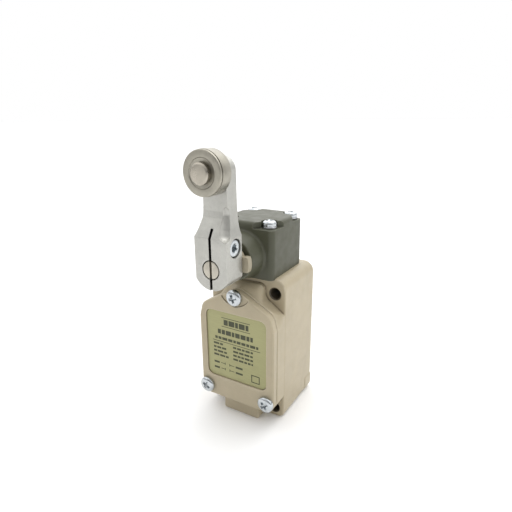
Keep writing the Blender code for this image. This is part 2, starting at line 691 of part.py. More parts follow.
def make_cam():
    """Spiral over the working angle below the shaft, a plain round above it."""
    outline = []
    steps = 48
    for step in range(steps):
        angle = -180.0 + 360.0 * step / steps
        held = max(-CAM_WORKING_ANGLE, min(CAM_WORKING_ANGLE, angle))
        fade = 1.0 - (abs(angle) - abs(held)) / (180.0 - CAM_WORKING_ANGLE)
        radius = CAM_RADIUS + CAM_RISE_PER_RADIAN * math.radians(held) * fade
        radians = math.radians(angle)
        outline.append(Vector((radius * math.sin(radians), SHAFT_Z - radius * math.cos(radians))))
    half = CAM_THICKNESS / 2
    cam = plate("cam", "front", outline, PLUNGER_DEPTH - half, PLUNGER_DEPTH + half, STEEL)
    cut(cam,
        rod("cam_bore", "front", (0, SHAFT_Z), 10, 25, SHAFT_RADIUS + CLEARANCE, cutter=True, segments=24),
        rod("cam_pin_hole", "right", (PLUNGER_DEPTH, SHAFT_Z), -9, 9, 1.3, cutter=True, segments=COARSE))
    rod("cam_pin", "right", (PLUNGER_DEPTH, SHAFT_Z), -CAM_PIN_SHORT, CAM_PIN_LONG, 1.0, STEEL, segments=12)


def make_retaining_ring():
    outer = arc(0, SHAFT_Z, 5.9, 130, 410, 20)
    inner = arc(0, SHAFT_Z, 3.6, 410, 130, 20)
    outline = [Vector(point[:2]) for point in outer + inner]
    plate("retaining_ring", "front", outline, 25.0, 25.6, SPRING_STEEL)


def lever_outline():
    """Round foot about the shaft, straight clamp sides, tapering arm and round end about the roller."""
    side_angle = math.degrees(math.acos(BLOCK_HALF_WIDTH / BLOCK_RADIUS))
    foot = arc(0, SHAFT_Z, BLOCK_RADIUS, 180 + side_angle, 360 - side_angle, 12)
    end = arc(0, ROLLER_Z, ARM_HALF_WIDTH, 0, 180, 14)
    right_waist = [(BLOCK_HALF_WIDTH, BLOCK_TOP, 0), (6.6, 62.6, 0), (6.2, 67.0, 0), (5.8, 74.0, 0)]
    left_waist = [(-x, z, radius) for x, z, radius in reversed(right_waist)]
    corners = foot + right_waist + end + left_waist
    return [Vector(point[:2]) for point in corners]


def make_lever():
    lever = plate("lever", "front", lever_outline(), LEVER_BACK, LEVER_FRONT, CAST_ALUMINIUM)
    ramp = [Vector((-BLOCK_TOP - 0.1, -LEVER_FRONT)), Vector((-BLOCK_TOP - 0.1, -LEVER_FRONT - 2)),
            Vector((-95.0, -LEVER_FRONT - 2)), Vector((-95.0, -ARM_FRONT)), Vector((-RAMP_TOP, -ARM_FRONT))]
    cut(lever, plate("lever_ramp", "right", ramp, -12, 12, cutter=True))
    for side in (-1, 1):
        cut(lever, scallop("lever_scallop", side))
    cut(lever, block("lever_slit", (-SLIT_HALF_WIDTH, SLIT_HALF_WIDTH), (LEVER_BACK - 2, LEVER_FRONT + 2),
                     (SHAFT_Z - 12, SLIT_TOP), cutter=True),
        rod("lever_shaft_bore", "front", (0, SHAFT_Z), LEVER_BACK - 2, LEVER_FRONT + 2,
            SHAFT_RADIUS + CLEARANCE, cutter=True),
        rod("lever_bolt_hole", "right", (BOLT_DEPTH, BOLT_Z), BOLT_TIP - CLEARANCE, 9,
            BOLT_RADIUS + CLEARANCE, cutter=True, segments=COARSE),
        rod("lever_counterbore", "right", (BOLT_DEPTH, BOLT_Z), BOLT_SEAT, 9,
            BOLT_HEAD_RADIUS + CLEARANCE + 0.1, cutter=True, segments=24),
        rod("lever_pin_bore", "front", (0, ROLLER_Z), LEVER_BACK - 2, ARM_FRONT + 2,
            ROLLER_PIN_RADIUS + CLEARANCE, cutter=True, segments=24))
    return lever


def scallop(name, side):
    """A finger-shaped hollow that runs up the front edge from the clamp block."""
    low = 61.4
    high = 73.0
    radius = 3.0
    profile = [(0.0, high - low), (radius, high - low)]
    for step in range(7):
        angle = math.radians(90 * step / 6)
        profile.append((radius * math.cos(angle), -radius * math.sin(angle)))
    profile[-1] = (0.0, -radius)
    cutter = turned(name, "up", (side * 8.3, LEVER_FRONT - 0.2, low), profile, cutter=True, segments=24)
    cutter.rotation_euler = (math.radians(-5), 0, 0)
    return cutter


def make_clamp_bolt():
    face = BLOCK_HALF_WIDTH - 0.1
    under = BLOCK_HALF_WIDTH - BOLT_HEAD_HEIGHT
    profile = [(0.0, face), (BOLT_HEAD_RADIUS - 0.35, face), (BOLT_HEAD_RADIUS, face - 0.35),
               (BOLT_HEAD_RADIUS, under), (BOLT_RADIUS, under), (BOLT_RADIUS, BOLT_TIP + 0.5),
               (BOLT_RADIUS - 0.4, BOLT_TIP), (0.0, BOLT_TIP)]
    bolt = turned("clamp_bolt", "right", (0, BOLT_DEPTH, BOLT_Z), profile, ZINC, segments=24)
    cut(bolt, rod("bolt_socket", "right", (BOLT_DEPTH, BOLT_Z), BOLT_SEAT + 2.4,
                  BLOCK_HALF_WIDTH + OVERCUT, BOLT_HEX_RADIUS, cutter=True, segments=6))


def make_position_plate():
    """A ring behind the lever with a round lobe on each side."""
    outline = []
    steps = 60
    for step in range(steps):
        angle = 2 * math.pi * step / steps
        lobe = max(0.0, abs(math.cos(angle)) - math.cos(math.radians(30))) / (1 - math.cos(math.radians(30)))
        swell = min(1.0, lobe * 1.8)
        radius = 7.4 + (POSITION_PLATE_RADIUS - 7.4) * swell
        outline.append(Vector((radius * math.cos(angle), SHAFT_Z + radius * math.sin(angle))))
    ring = plate("position_plate", "front", outline, 43.4, LEVER_BACK - CLEARANCE, CREAM_PLASTIC)
    cut(ring, rod("position_plate_bore", "front", (0, SHAFT_Z), 40, 50, SHAFT_RADIUS + CLEARANCE, cutter=True,
                  segments=24))


def make_roller():
    bore = ROLLER_PIN_RADIUS + CLEARANCE
    face = ROLLER_FRONT
    profile = [(bore, face - 0.5), (5.4, face - 0.5), (5.9, face), (ROLLER_RADIUS - 0.35, face),
               (ROLLER_RADIUS, face - 0.35), (ROLLER_RADIUS, ROLLER_BACK + 0.35),
               (ROLLER_RADIUS - 0.35, ROLLER_BACK), (bore, ROLLER_BACK)]
    turned("roller", "front", (0, 0, ROLLER_Z), profile, STEEL, segments=FINE, closed=True)
    front = face + 1.9
    under = face - 0.5 + CLEARANCE
    pin = [(0.0, front), (2.6, front - 0.15), (3.7, front - 0.7), (4.2, front - 1.4), (4.2, under),
           (ROLLER_PIN_RADIUS, under), (ROLLER_PIN_RADIUS, LEVER_BACK + 0.2), (ROLLER_PIN_RADIUS - 0.4,
                                                                              LEVER_BACK - 0.2),
           (0.0, LEVER_BACK - 0.2)]
    turned("roller_pin", "front", (0, 0, ROLLER_Z), pin, STEEL, segments=24)


# ---------------------------------------------------------------- built-in switch
SWITCH_SCREWS = [(-TERMINAL_X, 14.9), (TERMINAL_X, -8.9)]
GROUND_SCREW = (-7.6, -17.0)


def make_switch_body():
    body = block("switch_body", (-SWITCH_HALF_WIDTH, SWITCH_HALF_WIDTH),
                 (REAR_WALL + CLEARANCE, SWITCH_FRONT), (SWITCH_BOTTOM, SWITCH_TOP), RED_PHENOLIC)
    cut(body, block("switch_chamber", (-CHAMBER_HALF_WIDTH, CHAMBER_HALF_WIDTH),
                    (11.0, SWITCH_FRONT + OVERCUT), (-9.4, 13.0), cutter=True),
        rod("switch_button_bore", "up", (0, PLUNGER_DEPTH), 12.0, SWITCH_TOP + OVERCUT, 2.3, cutter=True,
            segments=24))
    for side in (-1, 1):
        for z in TERMINAL_LEVELS:
            seat = sorted((side * (CHAMBER_HALF_WIDTH - OVERCUT), side * (SWITCH_HALF_WIDTH + OVERCUT)))
            cut(body, block("switch_terminal_seat", seat, (SWITCH_FRONT - 1.8, SWITCH_FRONT + OVERCUT),
                            (z - 3.3, z + 3.3), cutter=True),
                rod("switch_terminal_hole", "front", (side * TERMINAL_X, z), SWITCH_FRONT - 8.6,
                    SWITCH_FRONT + OVERCUT, 1.8, cutter=True, segments=COARSE))
    for x, z in SWITCH_SCREWS:
        cut(body, rod("switch_screw_hole", "front", (x, z), 0, SWITCH_FRONT + OVERCUT, 1.8, cutter=True,
                      segments=COARSE),
            rod("switch_screw_seat", "front", (x, z), SWITCH_FRONT - 2.4, SWITCH_FRONT + OVERCUT, 2.8,
                cutter=True, segments=COARSE))
    return body


def make_switch_front():
    """The lid over the contact chamber."""
    lid_width = CHAMBER_HALF_WIDTH - CLEARANCE
    block("switch_front", (-lid_width, lid_width), (SWITCH_FRONT - 0.4, SWITCH_FRONT + 0.8), (-9.1, 12.7),
          BLACK_PLASTIC, bevel=0.25)


def make_terminals():
    """Four terminal strips, each with a contact finger that reaches into the chamber."""
    number = 0
    for side in (-1, 1):
        for z in TERMINAL_LEVELS:
            number += 1
            back = SWITCH_FRONT - 1.8 + CLEARANCE
            strip_x = sorted((side * 3.0, side * 12.2))
            strip = block("terminal_%d" % number, strip_x, (back, back + 0.8), (z - 2.9, z + 2.9), BRASS)
            level = BRIDGE_Z + (2.6 if z > BRIDGE_Z else -2.6)
            finger_z = sorted((level, level + (0.9 if z > BRIDGE_Z else -0.9)))
            finger = block("terminal_finger", sorted((side * 3.0, side * 5.2)), (15.4, back + 0.4), finger_z,
                           cutter=True)
            join(strip, finger)
            cut(strip, rod("terminal_hole", "front", (side * TERMINAL_X, z), back - 2, back + 2, 1.8,
                           cutter=True, segments=COARSE))
            pan_screw("terminal_screw_%d" % number, "front",
                      (side * TERMINAL_X, back + 0.8 + CLEARANCE, z), 1.5, 7.4, 2.7, 1.8)


def make_switch_screws():
    for number, (x, z) in enumerate(SWITCH_SCREWS, start=1):
        pan_screw("switch_screw_%d" % number, "front", (x, SWITCH_FRONT - 2.4 + CLEARANCE, z), 1.3, 19.6, 2.5,
                  1.7)
    x, z = GROUND_SCREW
    pan_screw("ground_screw", "front", (x, REAR_WALL + CLEARANCE, z), 1.3, 3.4, 2.7, 1.8)


def make_contacts():
    """Button, contact bridge and the spring that lifts them."""
    spot = (0, PLUNGER_DEPTH, 0)
    button = [(0.0, PLUNGER_BOTTOM - CLEARANCE), (1.6, PLUNGER_BOTTOM - CLEARANCE),
              (2.0, PLUNGER_BOTTOM - CLEARANCE - 0.4), (2.0, BRIDGE_Z + 5.0), (1.2, BRIDGE_Z + 5.0),
              (1.2, BRIDGE_Z - 1.2), (0.0, BRIDGE_Z - 1.2)]
    turned("switch_button", "up", spot, button, BLACK_PLASTIC, segments=COARSE)
    bridge = block("contact_bridge", (-5.0, 5.0), (PLUNGER_DEPTH - 2.4, PLUNGER_DEPTH + 2.4),
                   (BRIDGE_Z - 0.4, BRIDGE_Z + 0.4), BRASS)
    cut(bridge, rod("bridge_hole", "up", (0, PLUNGER_DEPTH), BRIDGE_Z - 2, BRIDGE_Z + 2, 1.5, cutter=True,
                    segments=COARSE))
    helix("contact_spring", 0, PLUNGER_DEPTH, -9.1, BRIDGE_Z - 1.5, 1.9, 0.25, 5.0, SPRING_STEEL)


# ---------------------------------------------------------------- assembly
def build():
    make_case()
    make_cover()
    make_cover_gasket()
    make_name_plate()
    make_cover_insulator()
    make_cover_screws()
    make_head()
    make_head_gasket()
    make_head_screws()
    make_shaft_supports()
    make_plunger()
    make_plunger_supports()
    make_shaft()
    make_cam()
    make_retaining_ring()
    make_lever()
    make_clamp_bolt()
    make_position_plate()
    make_roller()
    make_switch_body()
    make_switch_front()
    make_terminals()
    make_switch_screws()
    make_contacts()


build()
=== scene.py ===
"""Looks of the roller-lever limit switch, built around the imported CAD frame.

Lengths are in millimetres and turned to metres when a mesh is made. A "depth" is a distance in
front of the rear mounting face, so y = -depth.
"""
import json
import math

import bmesh
import bpy
import numpy as np
from mathutils import Matrix, Vector


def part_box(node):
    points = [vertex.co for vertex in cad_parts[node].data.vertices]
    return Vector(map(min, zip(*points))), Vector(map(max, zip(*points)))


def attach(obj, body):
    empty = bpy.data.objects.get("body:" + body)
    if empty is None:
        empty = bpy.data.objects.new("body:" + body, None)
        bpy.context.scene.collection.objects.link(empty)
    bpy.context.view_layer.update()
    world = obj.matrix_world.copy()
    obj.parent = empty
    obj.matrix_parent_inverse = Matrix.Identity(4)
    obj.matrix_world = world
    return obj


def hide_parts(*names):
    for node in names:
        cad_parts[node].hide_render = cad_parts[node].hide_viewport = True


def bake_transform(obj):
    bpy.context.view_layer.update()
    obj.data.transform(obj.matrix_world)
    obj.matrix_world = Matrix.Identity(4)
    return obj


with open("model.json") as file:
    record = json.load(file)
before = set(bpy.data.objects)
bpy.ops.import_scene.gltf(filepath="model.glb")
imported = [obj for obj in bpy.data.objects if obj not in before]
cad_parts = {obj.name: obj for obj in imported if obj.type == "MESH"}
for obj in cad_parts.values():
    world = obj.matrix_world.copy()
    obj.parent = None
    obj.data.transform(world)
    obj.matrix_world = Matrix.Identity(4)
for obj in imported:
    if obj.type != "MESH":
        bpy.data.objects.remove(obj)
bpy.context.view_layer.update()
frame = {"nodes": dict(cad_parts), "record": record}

MM = 0.001
BODY_CASE = "case_body"
BODY_LEVER = "lever_body"
BODY_ROLLER = "roller_body"


# ---------------------------------------------------------------- sizes read from the frame
def span(node):
    """A CAD node's (x, depth, z) ranges in millimetres."""
    low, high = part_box(node)
    return ((low.x / MM, high.x / MM), (-high.y / MM, -low.y / MM), (low.z / MM, high.z / MM))


CASE_X, CASE_D, CASE_Z = span("case")
COVER_X, COVER_D, COVER_Z = span("cover")
HEAD_X, HEAD_D, HEAD_Z = span("head_housing")
LEVER_X, LEVER_D, LEVER_Z = span("lever")
ROLLER_X, ROLLER_D, ROLLER_Z = span("roller")
SHAFT_D, SHAFT_ZS = span("shaft")[1:]
PIN_D = span("roller_pin")[1]
PLATE_X, PLATE_Z = span("name_plate")[::2]
RING_X, RING_D = span("position_plate")[:2]

CASE_HALF = CASE_X[1]
FLANGE_DEPTH = 31.2
SHAFT_AXIS = (SHAFT_ZS[0] + SHAFT_ZS[1]) / 2
ROLLER_AXIS = (ROLLER_Z[0] + ROLLER_Z[1]) / 2
ROLLER_CENTRE = (0, 0, ROLLER_AXIS)
SHAFT_CENTRE = (0, 0, SHAFT_AXIS)
MOUNT_X, MOUNT_Z, MOUNT_RADIUS = 14.6, 29.35, 2.6
LAND_RADIUS = 4.6
SHOULDER_TOP = 33.3
RAISED_HALF = COVER_X[1]
RAISED_BOTTOM = COVER_Z[0]
RAISED_CORNER = 4.8
COVER_APEX = 32.4
PARTING = CASE_D[1]
COVER_FACE = COVER_D[1]
COVER_SCREWS = {"cover_screw_top": (0.0, 28.4), "cover_screw_left": (-16.05, -20.2),
                "cover_screw_right": (16.05, -20.2)}
COVER_SCREW_BORE = 2.4
TOP_POCKET = 0.6
CONDUIT_RADIUS, CONDUIT_DEPTH = 10.5, 21.0
BLOCK_HALF = 9.7
HEAD_FACE = 33.2
HEAD_REAR = HEAD_D[0]
HEAD_LEDGE = 58.2
BOSS_END = HEAD_D[1]
HEAD_SCREW_X, HEAD_SCREW_DEPTHS = 10.0, (28.0, 7.2)
PLUNGER_DEPTH = 17.6
LEVER_BACK, LEVER_FRONT = LEVER_D
ARM_FRONT = 53.5
BLOCK_HALF_X = LEVER_X[1]
BLOCK_RADIUS = SHAFT_AXIS - LEVER_Z[0]
BLOCK_TOP = 59.0
RAMP_TOP = 67.2
ARM_HALF = LEVER_Z[1] - ROLLER_AXIS
BOLT_CENTRE = (0, 51.3, SHAFT_AXIS + 8.3)
BOLT_HEAD, COUNTERBORE = 3.5, 3.95
SLIT_TOP = 62.0
SLIT_HALF = 0.52
SIDE_CURVE = [(7.6, 59.0), (6.95, 60.6), (6.45, 62.4), (6.1, 64.6), (5.9, 67.0), (5.75, 70.0), (5.6, 75.0)]


# ---------------------------------------------------------------- meshes
FACING = {"up": Matrix.Identity(3), "front": Matrix.Rotation(math.pi / 2, 3, "X"),
          "right": Matrix.Rotation(math.pi / 2, 3, "Y")}


def spot_matrix(facing, x, depth, z):
    """Puts local +Z up, to the front or to the right, at a place in millimetres."""
    return Matrix.Translation(Vector((x, -depth, z))) @ FACING[facing].to_4x4()


def lathe(profile, facing, spot, segments=64):
    """Turned solid as a bmesh. profile is (radius, distance), from the far end down the outside."""
    bm = bmesh.new()
    closed = profile[0][0] > 0
    rows = []
    for radius, distance in profile:
        if radius <= 0:
            rows.append([bm.verts.new((0, 0, distance))])
            continue
        rows.append([bm.verts.new((radius * math.cos(2 * math.pi * i / segments),
                                   radius * math.sin(2 * math.pi * i / segments), distance))
                     for i in range(segments)])
    pairs = list(zip(rows, rows[1:]))
    if closed:
        pairs.append((rows[-1], rows[0]))
    for top, low in pairs:
        for i in range(segments):
            j = (i + 1) % segments
            corners = [top[i % len(top)], low[i % len(low)], low[j % len(low)], top[j % len(top)]]
            face = []
            for vert in corners:
                if vert not in face:
                    face.append(vert)
            if len(face) > 2:
                bm.faces.new(face)
    bmesh.ops.transform(bm, matrix=spot_matrix(facing, *spot), verts=bm.verts)
    bmesh.ops.recalc_face_normals(bm, faces=bm.faces)
    return bm


def ring_solid(rings, axis="front"):
    """Solid through outlines of equal length. rings lists (distance, outline)."""
    bm = bmesh.new()

    def corner(a, b, distance):
        if axis == "front":
            return (a, -distance, b)
        if axis == "up":
            return (a, b, distance)
        return (distance, b, a)

    rows = [[bm.verts.new(corner(a, b, distance)) for a, b in outline] for distance, outline in rings]
    for low, high in zip(rows, rows[1:]):
        for i in range(len(low)):
            j = (i + 1) % len(low)
            bm.faces.new((low[i], low[j], high[j], high[i]))
    bm.faces.new(rows[0])
    bm.faces.new(rows[-1])
    bmesh.ops.recalc_face_normals(bm, faces=bm.faces)
    return bm


def prism(outline, start, end, axis="front", round_start=0.0, round_end=0.0, steps=4):
    """An outline drawn out between two distances, with rounded rims."""
    rings = []
    if round_start:
        for step in range(steps + 1):
            angle = math.pi / 2 * step / steps
            rings.append((start + round_start * (1 - math.sin(angle)),
                          inset(outline, round_start * (1 - math.cos(angle)))))
        rings.reverse()
    else:
        rings.append((start, outline))
    if round_end:
        for step in range(steps + 1):
            angle = math.pi / 2 * step / steps
            rings.append((end - round_end * (1 - math.sin(angle)),
                          inset(outline, round_end * (1 - math.cos(angle)))))
    else:
        rings.append((end, outline))
    return ring_solid(rings, axis)


def box(x_range, depth_range, z_range):
    bm = bmesh.new()
    bmesh.ops.create_cube(bm, size=1)
    size = Vector((x_range[1] - x_range[0], depth_range[1] - depth_range[0], z_range[1] - z_range[0]))
    middle = Vector((sum(x_range) / 2, -sum(depth_range) / 2, sum(z_range) / 2))
    matrix = Matrix.Translation(middle) @ Matrix.Diagonal(size).to_4x4()
    bmesh.ops.transform(bm, matrix=matrix, verts=bm.verts)
    return bm


def rod(radius, start, end, facing, spot, segments=64, tip=None):
    """A plain round bar, or a tapered one when its end has another radius."""
    return lathe([(0, end), (radius if tip is None else tip, end), (radius, start), (0, start)], facing,
                 spot, segments)


# ---------------------------------------------------------------- outlines
def arc(centre, radius, start, end, steps):
    return [Vector((centre[0] + radius * math.cos(math.radians(start + (end - start) * i / steps)),
                    centre[1] + radius * math.sin(math.radians(start + (end - start) * i / steps))))
            for i in range(steps + 1)]


def rounded(corners, steps=10, closed=True):
    """Corners given as (a, b, radius) with each radius turned into an arc."""
    outline = []
    count = len(corners)
    for index, (a, b, radius) in enumerate(corners):
        corner = Vector((a, b))
        if radius <= 0 or (not closed and index in (0, count - 1)):
            outline.append(corner)
            continue
        before = (Vector(corners[index - 1][:2]) - corner).normalized()
        after = (Vector(corners[(index + 1) % count][:2]) - corner).normalized()
        half = before.angle(after) / 2
        reach = radius / math.tan(half)
        centre = corner + (before + after).normalized() * (radius / math.sin(half))
        first = corner + before * reach - centre
        turn = first.angle_signed(corner + after * reach - centre)
        for step in range(steps + 1):
            outline.append(centre + Matrix.Rotation(-turn * step / steps, 2) @ first)
    return outline


def rectangle(a_range, b_range, radius, steps=10):
    return rounded([(a_range[0], b_range[0], radius), (a_range[1], b_range[0], radius),
                    (a_range[1], b_range[1], radius), (a_range[0], b_range[1], radius)], steps)


def resample(points, count):
    """An open path redrawn with evenly spaced points."""
    lengths = [0.0]
    for first, second in zip(points, points[1:]):
        lengths.append(lengths[-1] + (second - first).length)
    spaced = []
    for step in range(count):
        target = lengths[-1] * step / (count - 1)
        index = min(max(i for i, reach in enumerate(lengths) if reach <= target + 1e-9), len(points) - 2)
        share = (target - lengths[index]) / (lengths[index + 1] - lengths[index])
        spaced.append(points[index].lerp(points[index + 1], share))
    return spaced


def inset(outline, distance):
    """The outline moved inwards along its corner bisectors, whichever way round it runs."""
    if not distance:
        return list(outline)
    count = len(outline)
    area = sum(outline[i - 1].x * outline[i].y - outline[i].x * outline[i - 1].y for i in range(count))
    side = 1.0 if area > 0 else -1.0
    moved = []
    for index, point in enumerate(outline):
        before = (point - outline[index - 1]).normalized()
        after = (outline[(index + 1) % count] - point).normalized()
        normal_after = Vector((-after.y, after.x)) * side
        bisector = (Vector((-before.y, before.x)) * side + normal_after).normalized()
        moved.append(point + bisector * distance / max(0.4, bisector.dot(normal_after)))
    return moved


# ---------------------------------------------------------------- pieces
def object_from(bm, name):
    """An object in millimetres, with flat triangles only so that Booleans stay sound."""
    bmesh.ops.triangulate(bm, faces=bm.faces)
    data = bpy.data.meshes.new(name)
    bm.to_mesh(data)
    bm.free()
    obj = bpy.data.objects.new(name, data)
    bpy.context.scene.collection.objects.link(obj)
    return obj


def settle(obj):
    """Turn an object's modifiers into its mesh."""
    graph = bpy.context.evaluated_depsgraph_get()
    data = bpy.data.meshes.new_from_object(obj.evaluated_get(graph))
    old = obj.data
    obj.modifiers.clear()
    obj.data = data
    data.name = obj.name
    bpy.data.meshes.remove(old)


def volume(obj):
    bm = bmesh.new()
    bm.from_mesh(obj.data)
    result = bm.calc_volume()
    bm.free()
    return result


def carve(obj, tools, operation="DIFFERENCE"):
    """Cut solids from an object, or join them to it. A step whose volume can't be right is redone
    with the tool moved by a few hundredths of a millimetre."""
    for index, tool in enumerate(tools):
        helper = object_from(tool, "tool_%d" % index)
        before = volume(obj)
        most = volume(helper)
        original = obj.data.copy()
        for attempt in range(6):
            helper.location = Vector((0.011, -0.007, 0.013)) * attempt
            modifier = obj.modifiers.new("cut", "BOOLEAN")
            modifier.operation = operation
            modifier.solver = "EXACT"
            modifier.object = helper
            obj.modifiers.new("flat", "TRIANGULATE")
            settle(obj)
            change = abs(volume(obj) - before)
            if change <= most * 1.02 + 0.02 * before and len(obj.data.polygons):
                break
            obj.data = original.copy()
        data = helper.data
        bpy.data.objects.remove(helper)
        bpy.data.meshes.remove(data)
        bpy.data.meshes.remove(original)


def soften(obj, voxel, keep):
    """Give a casting its soft edges: even voxels, smoothing, then fewer triangles."""
    whole = volume(obj)
    original = obj.data.copy()
    for attempt in range(4):
        remesh = obj.modifiers.new("voxels", "REMESH")
        remesh.mode = "VOXEL"
        remesh.voxel_size = voxel * (1 + 0.06 * attempt)
        settle(obj)
        if abs(volume(obj) - whole) < whole * 0.05:
            break
        obj.data = original.copy()
    relax = obj.modifiers.new("relax", "SMOOTH")
    relax.factor = 0.5
    relax.iterations = 1
    thin = obj.modifiers.new("thin", "DECIMATE")
    thin.ratio = keep
    settle(obj)
    mark_edges(obj)


def mark_edges(obj):
    """Store how far each point stands out (below zero) or is hollow (above zero), for painted highlights on
    edges and painted shade in hollows.
    """
    data = obj.data
    count = len(data.vertices)
    place = np.empty(count * 3, np.float32)
    data.vertices.foreach_get("co", place)
    place = place.reshape(-1, 3)
    normal = np.empty(count * 3, np.float32)
    data.vertices.foreach_get("normal", normal)
    normal = normal.reshape(-1, 3)
    ends = np.empty(len(data.edges) * 2, np.int32)
    data.edges.foreach_get("vertices", ends)
    first, second = ends.reshape(-1, 2).T
    step = place[second] - place[first]
    length = np.maximum(np.linalg.norm(step, axis=1), 1e-9)
    bend = np.zeros(count)
    share = np.zeros(count)
    np.add.at(bend, first, (normal[first] * step).sum(1) / length)
    np.add.at(bend, second, -(normal[second] * step).sum(1) / length)
    np.add.at(share, first, 1)
    np.add.at(share, second, 1)
    bend /= np.maximum(share, 1)
    for _ in range(3):
        total = bend.copy()
        np.add.at(total, first, bend[second])
        np.add.at(total, second, bend[first])
        bend = total / (share + 1)
    layer = data.attributes.new("bend", "FLOAT", "POINT")
    layer.data.foreach_set("value", bend.astype(np.float32))


def bevelled(obj, width, segments, angle):
    modifier = obj.modifiers.new("bevel", "BEVEL")
    modifier.width = width
    modifier.segments = segments
    modifier.limit_method = "ANGLE"
    modifier.angle_limit = math.radians(angle)
    settle(obj)


def dress(obj, look, sharp_angle):
    """Scale a finished piece to metres and give it its material and shading."""
    data = obj.data
    data.transform(Matrix.Scale(MM, 4))
    data.materials.clear()
    data.materials.append(look)
    data.shade_smooth()
    if sharp_angle:
        data.set_sharp_from_angle(angle=math.radians(sharp_angle))


def finish(obj, look, body, nodes, sharp_angle):
    dress(obj, look, sharp_angle)
    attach(obj, body)
    if nodes:
        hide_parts(*nodes)


# ---------------------------------------------------------------- materials
class Look:
    """Builds one node material around a Principled shader."""

    def __init__(self, name, color, roughness, metallic=0.0, **fixed):
        self.material = bpy.data.materials.new(name)
        self.material.use_nodes = True
        self.tree = self.material.node_tree
        self.shader = self.tree.nodes["Principled BSDF"]
        self.shader.inputs["Base Color"].default_value = (*color, 1.0)
        self.shader.inputs["Roughness"].default_value = roughness
        self.shader.inputs["Metallic"].default_value = metallic
        for socket, value in fixed.items():
            self.shader.inputs[socket.replace("_", " ")].default_value = value
        self.place = self.node("ShaderNodeTexCoord").outputs["Object"]
        self.height = None

    def node(self, kind, **settings):
        made = self.tree.nodes.new(kind)
        for key, value in settings.items():
            setattr(made, key, value)
        return made

    def link(self, source, target):
        self.tree.links.new(source, target)

    def noise(self, scale, detail=3.0, roughness=0.55, stretch=None):
        """Noise with a given number of blotches per metre."""
        source = self.place
        if stretch:
            mapping = self.node("ShaderNodeMapping")
            mapping.inputs["Scale"].default_value = stretch
            self.link(self.place, mapping.inputs["Vector"])
            source = mapping.outputs["Vector"]
        made = self.node("ShaderNodeTexNoise")
        made.inputs["Scale"].default_value = scale
        made.inputs["Detail"].default_value = detail
        made.inputs["Roughness"].default_value = roughness
        self.link(source, made.inputs["Vector"])
        return made.outputs["Fac"]

    def remap(self, value, from_low, from_high, to_low, to_high):
        made = self.node("ShaderNodeMapRange")
        for socket, number in zip(("From Min", "From Max", "To Min", "To Max"),
                                  (from_low, from_high, to_low, to_high)):
            made.inputs[socket].default_value = number
        self.link(value, made.inputs["Value"])
        return made.outputs["Result"]

    def blend(self, factor, first, second):
        """Mix two colours, each a colour or an output, by a factor output."""
        made = self.node("ShaderNodeMix", data_type="RGBA")
        self.link(factor, made.inputs["Factor"])
        for socket, value in ((made.inputs[6], first), (made.inputs[7], second)):
            if isinstance(value, tuple):
                socket.default_value = (*value, 1.0)
            else:
                self.link(value, socket)
        return made.outputs[2]

    def maths(self, operation, first, second=None):
        made = self.node("ShaderNodeMath", operation=operation)
        for socket, value in zip(made.inputs, (first, second)):
            if value is None:
                continue
            if isinstance(value, (int, float)):
                socket.default_value = value
            else:
                self.link(value, socket)
        return made.outputs[0]

    def bump(self, height, strength, distance):
        made = self.node("ShaderNodeBump")
        made.inputs["Strength"].default_value = strength
        made.inputs["Distance"].default_value = distance * MM
        self.link(height, made.inputs["Height"])
        if self.height is not None:
            self.link(self.height, made.inputs["Normal"])
        self.height = made.outputs["Normal"]
        self.link(self.height, self.shader.inputs["Normal"])

    def bend(self):
        """The value that mark_edges stored, zero on a flat."""
        return self.node("ShaderNodeAttribute", attribute_name="bend").outputs["Fac"]

    def vector(self, operation, source, value=None):
        made = self.node("ShaderNodeVectorMath", operation=operation)
        self.link(source, made.inputs[0])
        if value:
            made.inputs[1].default_value = value
        return made.outputs["Value" if operation == "LENGTH" else "Vector"]

    def radius_about(self, x, z, source=None):
        """Distance in millimetres from an axis along y."""
        shift = self.vector("SUBTRACT", source or self.place, (x * MM, 0, z * MM))
        length = self.vector("LENGTH", self.vector("MULTIPLY", shift, (1, 0, 1)))
        return self.maths("MULTIPLY", length, 1.0 / MM)

    def corner_radius(self, x, z):
        """Distance in millimetres from the nearest of four axes along y, at (+-x, +-z)."""
        return self.radius_about(x, z, self.vector("ABSOLUTE", self.place))


def shade(color, factor):
    """A colour made darker or lighter."""
    return tuple(min(1.0, channel * factor) for channel in color)


def enamel(name, color, roughness, edge_highlight_color, hollow_shade_color, bores=None):
    """Baked enamel on a casting: fine orange peel, mottling, a painted highlight on edges, painted shade in
    corners and darker painted shade inside the bores.
    """
    look = Look(name, color, roughness, Specular_IOR_Level=0.45)
    mottle = look.remap(look.noise(95, 4), 0.35, 0.65, 0.0, 1.0)
    tone = look.blend(mottle, shade(color, 0.95), shade(color, 1.04))
    speck = look.remap(look.noise(1500, 2), 0.62, 0.72, 0.0, 0.25)
    tone = look.blend(speck, tone, shade(color, 0.8))
    # Painted highlight: edges that stand out are lightened, as if catching the light.
    edge = look.remap(look.bend(), -0.025, -0.13, 0.0, 0.9)
    patchy = look.maths("MULTIPLY", edge, look.remap(look.noise(420, 4), 0.4, 0.62, 0.4, 1.0))
    tone = look.blend(patchy, tone, edge_highlight_color)
    # Painted shade: hollows and corners are darkened, as where less light reaches.
    corner = look.remap(look.bend(), 0.02, 0.12, 0.0, 0.95)
    tone = look.blend(corner, tone, hollow_shade_color)
    # Painted shade inside the mounting bores, darker still than in the corners.
    if bores:
        bore = look.remap(look.corner_radius(*bores), 2.9, 3.2, 0.9, 0.0)
        tone = look.blend(bore, tone, shade(hollow_shade_color, 0.35))
    look.link(tone, look.shader.inputs["Base Color"])
    gloss = look.remap(look.noise(260, 3), 0.3, 0.7, roughness - 0.06, roughness + 0.08)
    look.link(gloss, look.shader.inputs["Roughness"])
    look.bump(look.noise(620, 2, 0.5), 0.16, 0.06)
    look.bump(look.noise(2600, 2, 0.6), 0.12, 0.015)
    return look.material


